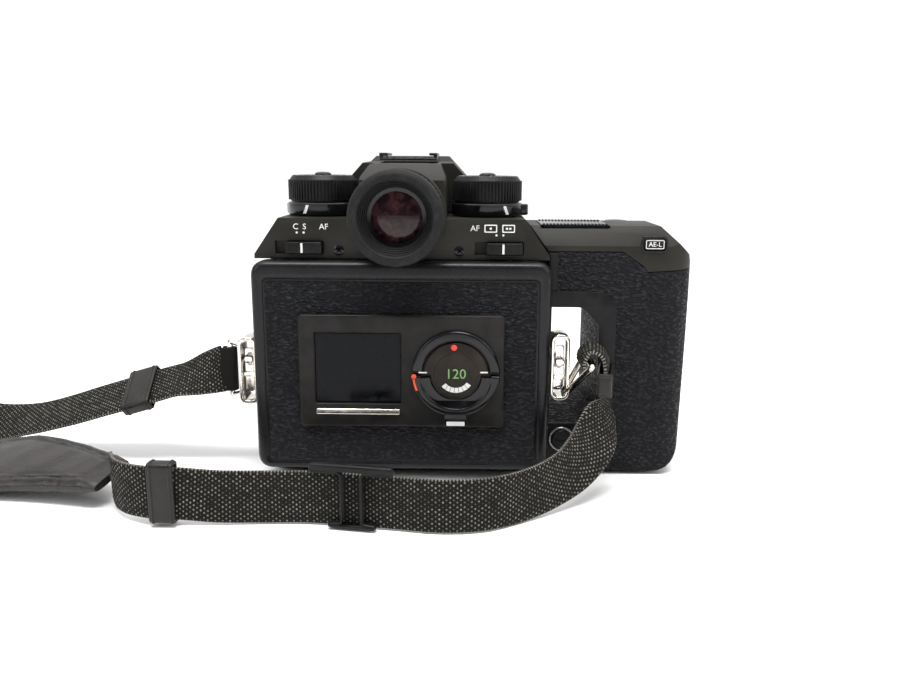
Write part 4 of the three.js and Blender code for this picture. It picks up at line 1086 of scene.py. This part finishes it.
def dial_tower(side, names, bodies):
    """Knurled dial on its lever ring, with a lock button in the middle."""
    x = side * 28.6
    dial_name, lever_name, button_name = names
    dial_body, lever_body, button_body = bodies
    outline = knurled(x, DIAL_Y, 66, ((0.0, 12.0), (0.42, 12.0), (0.56, 11.55), (0.86, 11.55)))
    hole = arc(x, DIAL_Y, 8.0, 0, 360, 72)[:-1]
    skirt = slab("skirt", [outline, hole], 94.9, 101.6, "z", edge=0.12, segments=2)
    crown = lathe("crown", [[3.2, 98.2], [3.2, 103.0], [3.5, 103.2], [10.0, 103.2], [10.5, 103.05],
                            [11.5, 101.7], [11.5, 95.2], [11.1, 94.3], [3.6, 94.3], [3.6, 89.9],
                            [0, 89.9], [0, 98.2], [3.2, 98.2]], "z", (x, DIAL_Y, 0), 96)
    finish(join("turning_" + dial_name, skirt, crown), DIAL_BLACK, "black_plastic", dial_body, dial_name)
    marks = []
    for k in range(16):
        a = 2 * math.pi * k / 16 + 0.1
        long = 1.5 if k % 4 == 0 else 0.9
        c, s = math.cos(a), math.sin(a)
        inner, outer = 9.6 - long, 9.6
        w = 0.16
        marks.append([(x + inner * c - w * s, DIAL_Y + inner * s + w * c),
                      (x + outer * c - w * s, DIAL_Y + outer * s + w * c),
                      (x + outer * c + w * s, DIAL_Y + outer * s - w * c),
                      (x + inner * c + w * s, DIAL_Y + inner * s - w * c)])
    lines = slab("marks_" + dial_name, marks, 103.15, 103.24, "z")
    finish(lines, WHITE, None, dial_body)

    button = lathe("pressed_" + button_name, [[0, 104.3], [1.9, 104.2], [2.6, 103.9], [2.9, 103.4],
                                               [2.9, 99.9], [0, 99.9]], "z", (x, DIAL_Y, 0), 64)
    finish(button, BLACK_STEEL, "steel", button_body, button_name)

    ring = lathe("ring", [[3.9, 89.9], [12.1, 89.9], [12.3, 90.3], [12.3, 93.7], [11.9, 94.1], [3.9, 94.1],
                          [3.9, 89.9]], "z", (x, DIAL_Y, 0), 96)
    tip = x + side * (14.4 if side > 0 else 12.9)
    root = x + side * 9.5
    tab_outline = rounded([(root, DIAL_Y - 4.2), (tip - side * 0.6, DIAL_Y - 1.7), (tip, DIAL_Y),
                           (tip - side * 0.6, DIAL_Y + 1.7), (root, DIAL_Y + 4.2)],
                          [0.3, 1.2, 0.5, 1.2, 0.3])
    tab = slab("tab", tab_outline, 89.9, 93.7, "z", edge=0.6)
    finish(join("lever_" + lever_name, ring, tab), GLOSS, "black_plastic", lever_body, lever_name)
    reach = 6.2 if side > 0 else 4.0
    place, lean = x + side * reach, -side
    stroke = [(place - 0.5 - 0.5 * lean, 90.6), (place + 0.5 - 0.5 * lean, 90.6),
              (place + 0.5 + 0.5 * lean, 93.4), (place - 0.5 + 0.5 * lean, 93.4)]
    near = DIAL_Y - math.sqrt(12.3 ** 2 - reach ** 2)
    mark = slab("index_" + lever_name, stroke, near - 0.45, near + 0.9, "y")
    finish(mark, WHITE, None, lever_body)


def dials():
    dial_tower(-1, ("exposure_dial", "drive_lever", "exposure_lock_button"),
               ("left_dial", "left_lever", "left_button"))
    dial_tower(1, ("shutter_speed_dial", "metering_lever", "speed_lock_button"),
               ("right_dial", "right_lever", "right_button"))


# ------------------------------------------------------------------ hand grip
GRIP_BACK = -20.0


def grip():
    shell = refined("grip_shell", 1.4, 4)
    finish(shell, LEATHERETTE, "leather", "camera", "grip_shell")
    gap_frame()
    top = refined("grip_top_cover", 1.2, 4)
    finish(top, PAINT, "paint", "camera", "grip_top_cover")
    window = slab("grip_display", rounded(box_outline(47, 70, -16, 8), 1.2), 86.2, 87.3, "z", edge=0.3)
    finish(window, DISPLAY, "display", "camera", "lcd_window")
    ridges = []
    for k in range(19):
        x = 47.9 + k * 1.18
        for low, high in ((-15.6, -13.2), (4.6, 7.2)):
            ridges.append(slab("ridge", [(x - 0.34, low), (x + 0.34, low), (x + 0.34, high),
                                         (x - 0.34, high)], 86.9, 87.6, "z", edge=0.15, segments=1))
    finish(join("display_edge_ridges", *ridges), MATT_PLASTIC, "black_plastic", "camera")
    shutter_and_switch()
    rear = slab("rear_lock_button", rounded(box_outline(81.2, 88.4, 79.3, 83.1), 1.3), -20.6, -17.0,
                edge=0.5)
    finish(rear, PLASTIC, "black_plastic", "rear_button", "ael_button")
    finish(words("rear_button_letters", "AE-L", 2.2, 84.8, -20.62, 81.2), WHITE, None, "rear_button")
    frame = [rounded(box_outline(81.75, 87.85, 79.75, 82.65), 0.4),
             rounded(box_outline(81.97, 87.63, 79.97, 82.43), 0.3)]
    decal("rear_button_frame", frame, -20.62, WHITE, None, "rear_button")
    rim_out = rounded(box_outline(80.4, 89.2, 78.5, 83.9), 1.7)
    rim_in = rounded(box_outline(81.0, 88.6, 79.1, 83.3), 1.4)
    finish(slab("rear_button_rim", [rim_out, rim_in], -20.25, -19.4, edge=0.18), GLOSS, "black_plastic",
           "camera")
    battery_lock()


def gap_frame():
    """Smooth frame round the finger gap, where the leather stops."""
    outer = [(50.2, 1.6), (73.0, 1.6), (73.0, 61.0), (69.0, 65.0), (50.2, 65.0)]
    outer = rounded(outer, [0.5, 0.5, 5.0, 3.0, 0.5], 8)
    inner = rounded([(49.0, 18.4), (67.2, 18.4), (67.2, 53.8), (61.4, 59.6), (49.0, 59.6)],
                    [0.1, 2.0, 4.0, 4.0, 0.1], 8)
    inner = [(max(x, 50.9), z) for x, z in inner]
    frame_piece = slab("gap_frame", [outer, inner], GRIP_BACK - 0.3, GRIP_BACK + 0.4, edge=0.2)
    finish(frame_piece, PLASTIC, "black_plastic", "camera")
    edge = slab("grip_inner_edge", rounded(box_outline(49.9, 52.6, 65.4, 78.0), 0.4), GRIP_BACK - 0.3,
                GRIP_BACK + 0.4, edge=0.2)
    finish(edge, PLASTIC, "black_plastic", "camera")


def shutter_and_switch():
    x, y = 79.0, 26.0
    outline = knurled(x, y, 48, ((0.0, 9.5), (0.45, 9.5), (0.6, 9.15), (0.85, 9.15)))
    hole = arc(x, y, 5.0, 0, 360, 64)[:-1]
    ring = slab("ring", [outline, hole], 82.5, 84.6, "z", edge=0.15)
    top = lathe("top", [[5.0, 82.6], [8.8, 82.6], [8.8, 84.8], [8.3, 85.2], [6.0, 85.2], [5.0, 84.4],
                        [5.0, 82.6]], "z", (x, y, 0), 96)
    finish(join("power_switch_ring", ring, top), PLASTIC, "black_plastic", "main_switch",
           "main_switch_ring")
    mark = slab("power_switch_mark", [(x - 0.35, y - 8.4), (x + 0.35, y - 8.4), (x + 0.35, y - 6.4),
                                      (x - 0.35, y - 6.4)], 85.18, 85.25, "z")
    finish(mark, WHITE, None, "main_switch")
    button = lathe("shutter_release", [[0, 85.75], [1.8, 85.8], [3.2, 86.05], [4.0, 86.2], [4.45, 85.9],
                                       [4.6, 85.4], [4.6, 78.7], [0, 78.7]], "z", (x, y, 0), 72)
    finish(button, GLOSS, "black_plastic", "shutter", "shutter_button")


def battery_lock():
    centre = (55.5, 0, 12.7)
    knob = lathe("knob", [[0, -21.9], [2.5, -22.0], [2.9, -22.4], [3.3, -22.4], [3.6, -22.0], [3.6, -20.3],
                          [0, -20.3]], "y", centre, 64)
    cutter = cube("cutter", (52.9, -23, 12.2), (58.1, -21.6, 13.2))
    boolean(knob, cutter)
    finish(join("battery_lock_screw", knob), PLASTIC, "black_plastic", "battery_lock", "battery_lock_knob")
    rim = lathe("battery_lock_rim", [[3.8, -20.2], [3.8, -21.0], [3.95, -21.2], [4.25, -21.2], [4.4, -21.0],
                                     [4.4, -19.9], [3.8, -20.2]], "y", centre, 72)
    finish(rim, STEEL, "steel", "camera")


# ------------------------------------------------------------------ strap clips
def rod(name, points, radius):
    """Bent wire through points in millimetres, closed with round ends."""
    deselect()
    curve = bpy.data.curves.new(name, "CURVE")
    curve.dimensions = "3D"
    curve.bevel_depth = radius * MM
    curve.bevel_resolution = 5
    curve.use_fill_caps = True
    spline = curve.splines.new("POLY")
    spline.points.add(len(points) - 1)
    for point, place in zip(spline.points, points):
        point.co = (*[c * MM for c in place], 1)
    piece = bpy.data.objects.new(name, curve)
    bpy.context.scene.collection.objects.link(piece)
    activate(piece)
    bpy.ops.object.convert(target="MESH")
    return outwards(bpy.context.object)


def bent(corners, reach=2.2, steps=6):
    """Points of a wire whose corners are rounded."""
    points = [Vector(corners[0])]
    for before, here, after in zip(corners, corners[1:], corners[2:]):
        here = Vector(here)
        first = here + (Vector(before) - here).normalized() * reach
        last = here + (Vector(after) - here).normalized() * reach
        for k in range(steps + 1):
            t = k / steps
            points.append(first.lerp(here, t).lerp(here.lerp(last, t), t))
    points.append(Vector(corners[-1]))
    return [tuple(p) for p in points]


def clip_frame(side, bottom, top):
    """Folded nickel frame on the lug, with its spring tongue and rivet."""
    low, high = (51.1, 57.7) if side > 0 else (-57.7, -51.1)
    outer = rounded(box_outline(low, high, bottom, top), 3, 10)
    inner = rounded(box_outline(low + 1.2, high - 1.2, bottom + 1.4, top - 1.4), 1.9, 8)
    shell = slab("frame", [outer, inner], -20, -10, "y", edge=0.4)
    middle = side * 54.4
    tongue = slab("tongue", rounded(box_outline(middle - 1.5, middle + 1.5, bottom + 4, top - 4), 1.2, 5),
                  -17.6, -16.9, "y", edge=0.2)
    rivet = lathe("rivet", [[0, -19.0], [1.3, -18.8], [1.7, -18.2], [1.7, -15], [0, -15]], "y",
                  (middle, 0, 40), 40)
    step = slab("step", rounded(box_outline(middle - 2.0, middle + 2.0, 33.6, 35.4), 0.5, 3), -18.2, -17.0,
                "y", edge=0.25)
    return join("clip", shell, tongue, rivet, step)


def strap_clips():
    right = clip_frame(1, 26.5, 50)
    loop = rod("loop", bent([(57, -17, 28.6), (62.9, -39.6, 43.4), (62.9, -20, 43.4),
                             (57, -13, 28.6)]), 1.1)
    finish(join("strap_clip_right_frame", right, loop), NICKEL, "nickel", "camera", "strap_clip_right")
    left = clip_frame(-1, 24, 48)
    wire = rod("wire", bent([(-57, -14, 27), (-62.4, -12.4, 25.2), (-62.4, -12.4, 45.4), (-57, -14, 44)],
                            1.4), 1.1)
    finish(join("strap_clip_left_frame", left, wire), NICKEL, "nickel", "camera", "strap_clip_left")
    fold = [(x - 62.4, y - 12.4) for x, y in arc(0, 0, 2.5, -80, 80, 14) + [(-2.9, 2.4), (-2.9, 0.9)]
            + arc(0, 0, 1.25, 70, -70, 10) + [(-2.9, -0.9), (-2.9, -2.4)]]
    sleeve = slab("webbing_fold_left", fold, 27.4, 43.0, "z", edge=0.3)
    finish(sleeve, NYLON, "webbing", "camera")
    for side, name in ((1, "right"), (-1, "left")):
        profile = [[0, 48.8], [2.2, 48.8], [2.2, 52.0], [2.6, 53.2], [3.6, 53.3], [3.6, 54.4], [3.2, 54.9],
                   [0, 54.9]]
        lug = lathe("lug_" + name, [[r, h * side] for r, h in profile], "x", (0, -15, 40), 48)
        plate_low, plate_high = (48.3, 48.95) if side > 0 else (-48.95, -48.3)
        plate = slab("plate", rounded(box_outline(-19, -11, 36, 44), 3), plate_low, plate_high, "x", 0.2)
        finish(join("strap_post_" + name, lug, plate), STEEL, "steel", "camera", "strap_lug_" + name)


# ------------------------------------------------------------------ lens and front of the camera
AXIS_Z = 39.0


def knurled_ring(name, radius, bore, low, high, ribs, depth, material, slot, body, cad_node):
    valley = radius - depth
    outline = knurled(0, AXIS_Z, ribs, ((0.0, radius), (0.5, radius), (0.62, valley), (0.88, valley)))
    hole = arc(0, AXIS_Z, bore, 0, 360, 96)[:-1]
    middle = slab("middle", [outline, hole], low + 1.6, high - 1.6, "y", edge=0.15, segments=1)
    bands = []
    for start, end in ((low, low + 2.2), (high - 2.2, high)):
        bands.append(lathe("band", [[bore, start], [radius - 0.3, start], [radius, start + 0.3],
                                    [radius, end - 0.3], [radius - 0.3, end], [bore, end], [bore, start]],
                           "y", (0, 0, AXIS_Z), 120))
    finish(join(name, middle, *bands), material, slot, body, cad_node)


def front_of_camera():
    barrel = refined("lens_barrel", 0.5, 3)
    finish(barrel, PLASTIC, "black_plastic", "lens", "lens_barrel")
    knurled_ring("aperture_scale_ring", 34.5, 31.4, 74.6, 82.0, 72, 0.7, DIAL_BLACK, "black_plastic",
                 "aperture", "aperture_ring")
    knurled_ring("focusing_ring", 35.2, 31.4, 82.4, 99.8, 90, 0.9, RUBBER, "rubber", "focus", "focus_ring")
    front = (0, 0, AXIS_Z)
    glass = lathe("front_element", [[0, 95.2], [22.7, 97.2], [22.7, 100.1], [20, 101.3], [16, 102.3],
                                    [11, 103.1], [6, 103.5], [0, 103.6]], "y", front, 96)
    finish(glass, LENS_GLASS, "glass", "lens", "lens_front_glass")
    rear = lathe("rear_element", [[0, 66.7], [16, 67.6], [22.7, 69.7], [22.7, 73.2], [0, 73.7]],
                 "y", front, 96)
    finish(rear, LENS_GLASS, "glass", "lens", "lens_rear_glass")
    trim = lathe("front_trim_ring", [[22.9, 103.2], [24.6, 104.6], [27.6, 108.4], [28.0, 109.1],
                                     [23.1, 103.0], [22.9, 103.2]], "y", front, 96)
    finish(trim, DIAL_BLACK, "black_plastic", "lens")
    mount = lathe("mount_flange", [[27.0, 63.4], [35.0, 63.4], [35.0, 70.2], [34.4, 70.9], [27.6, 70.9],
                                   [27.0, 70.2], [27.0, 63.4]], "y", front, 120)
    for k in range(4):
        a = math.radians(45 + 90 * k)
        pocket = cylinder("pocket", 1.4, 70.4, 72, "y",
                          (31.2 * math.cos(a), 0, AXIS_Z + 31.2 * math.sin(a)), 32)
        boolean(mount, pocket)
    finish(join("mount_flange", mount), STEEL, "steel", "camera", "lens_mount_ring")
    button = lathe("lens_catch", [[0, 67.0], [2.6, 67.05], [3.4, 66.8], [4.0, 66.4], [4.2, 65.8],
                                  [4.2, 62.6], [0, 62.6]], "y", (41, 0, 27), 64)
    finish(button, PLASTIC, "black_plastic", "lens_release", "lens_release_button")


# ------------------------------------------------------------------ body and what is inside
def casting_and_base():
    finish(refined("body_shell", 0.9, 3), MATT_PLASTIC, "black_metal", "camera", "body_shell")
    finish(refined("film_chamber", 0.25, 2), MATT_PLASTIC, "black_metal", "camera", "film_chamber")
    body_leather()
    finish(refined("base_plate", 0.5, 3), ENAMEL, "black_metal", "camera", "base_plate")
    thread = [[radius, round(top - 0.7 * turn, 1)] for turn in range(7)
              for radius, top in ((4.5, 5.9), (4.8, 5.6))]
    socket = lathe("tripod_bush", [[4.8, 0.1], [5.1, 0], [7.6, 0], [8.0, 0.4], [8.0, 7.0], [4.8, 7.0],
                                   [4.8, 6.2], *thread, [4.8, 0.1]], "z", (0, 30, 0), 96)
    finish(socket, STEEL, "steel", "camera", "tripod_socket")


def body_leather():
    """Leatherette on the left side and the front corners of the casting."""
    side = slab("side_leatherette", rounded(box_outline(3.5, 58, 7.5, 70), 1.5), -48.95, -48.3, "x", 0.2)
    finish(side, LEATHERETTE, "leather", "camera")
    for k, (low, high) in enumerate(((-44.5, -34.5), (37.0, 44.5))):
        if k == 0:
            outline = [(low, 9), (-22, 9), (-33, 20), (-36.5, 30), (-36.5, 48), (-33, 58), (-22, 69),
                       (low, 69)]
        else:
            outline = [(high, 9), (22, 9), (30, 16), (36.4, 34), (36.5, 48), (33, 58), (22, 69), (high, 69)]
        front = slab(f"front_leatherette_{k}", rounded(outline, 1.2), 62.9, 63.25, "y", edge=0.1)
        if k == 1:
            well = cylinder("well", 5.0, 62, 64, "y", (41, 0, 27), 48)
            boolean(front, well)
        finish(join(f"front_leatherette_{k}", front), LEATHERETTE, "leather", "camera")


def inside():
    finish(refined("shutter_frame", 0.2, 2), MATT_PLASTIC, "black_metal", "camera", "shutter_frame")
    recolour("shutter_curtain", MATT_PLASTIC)
    finish(refined("reflex_mirror", 0.15, 2), SILVER_MIRROR, "mirror", "mirror", "reflex_mirror")
    recolour("focusing_screen", LENS_GLASS)
    finish(refined("pentaprism", 0.4, 2), LENS_GLASS, "glass", "camera", "pentaprism")
    finish(refined("battery_holder", 0.4, 2), MATT_PLASTIC, "black_plastic", "camera", "battery_holder")
    finish(refined("insert_frame", 0.2, 2), MATT_PLASTIC, "black_plastic", "film_back", "insert_frame")
    finish(refined("pressure_plate", 0.3, 2), STEEL, "steel", "film_back", "pressure_plate")
    for name, body in (("feed_spool", "lower_spool"), ("takeup_spool", "upper_spool")):
        finish(refined(name, 0.2, 2), MATT_PLASTIC, "black_plastic", body, name)


studio()
neck_strap()
film_back()
latch()
top_of_camera()
eyepiece()
dials()
grip()
strap_clips()
front_of_camera()
casting_and_base()
inside()
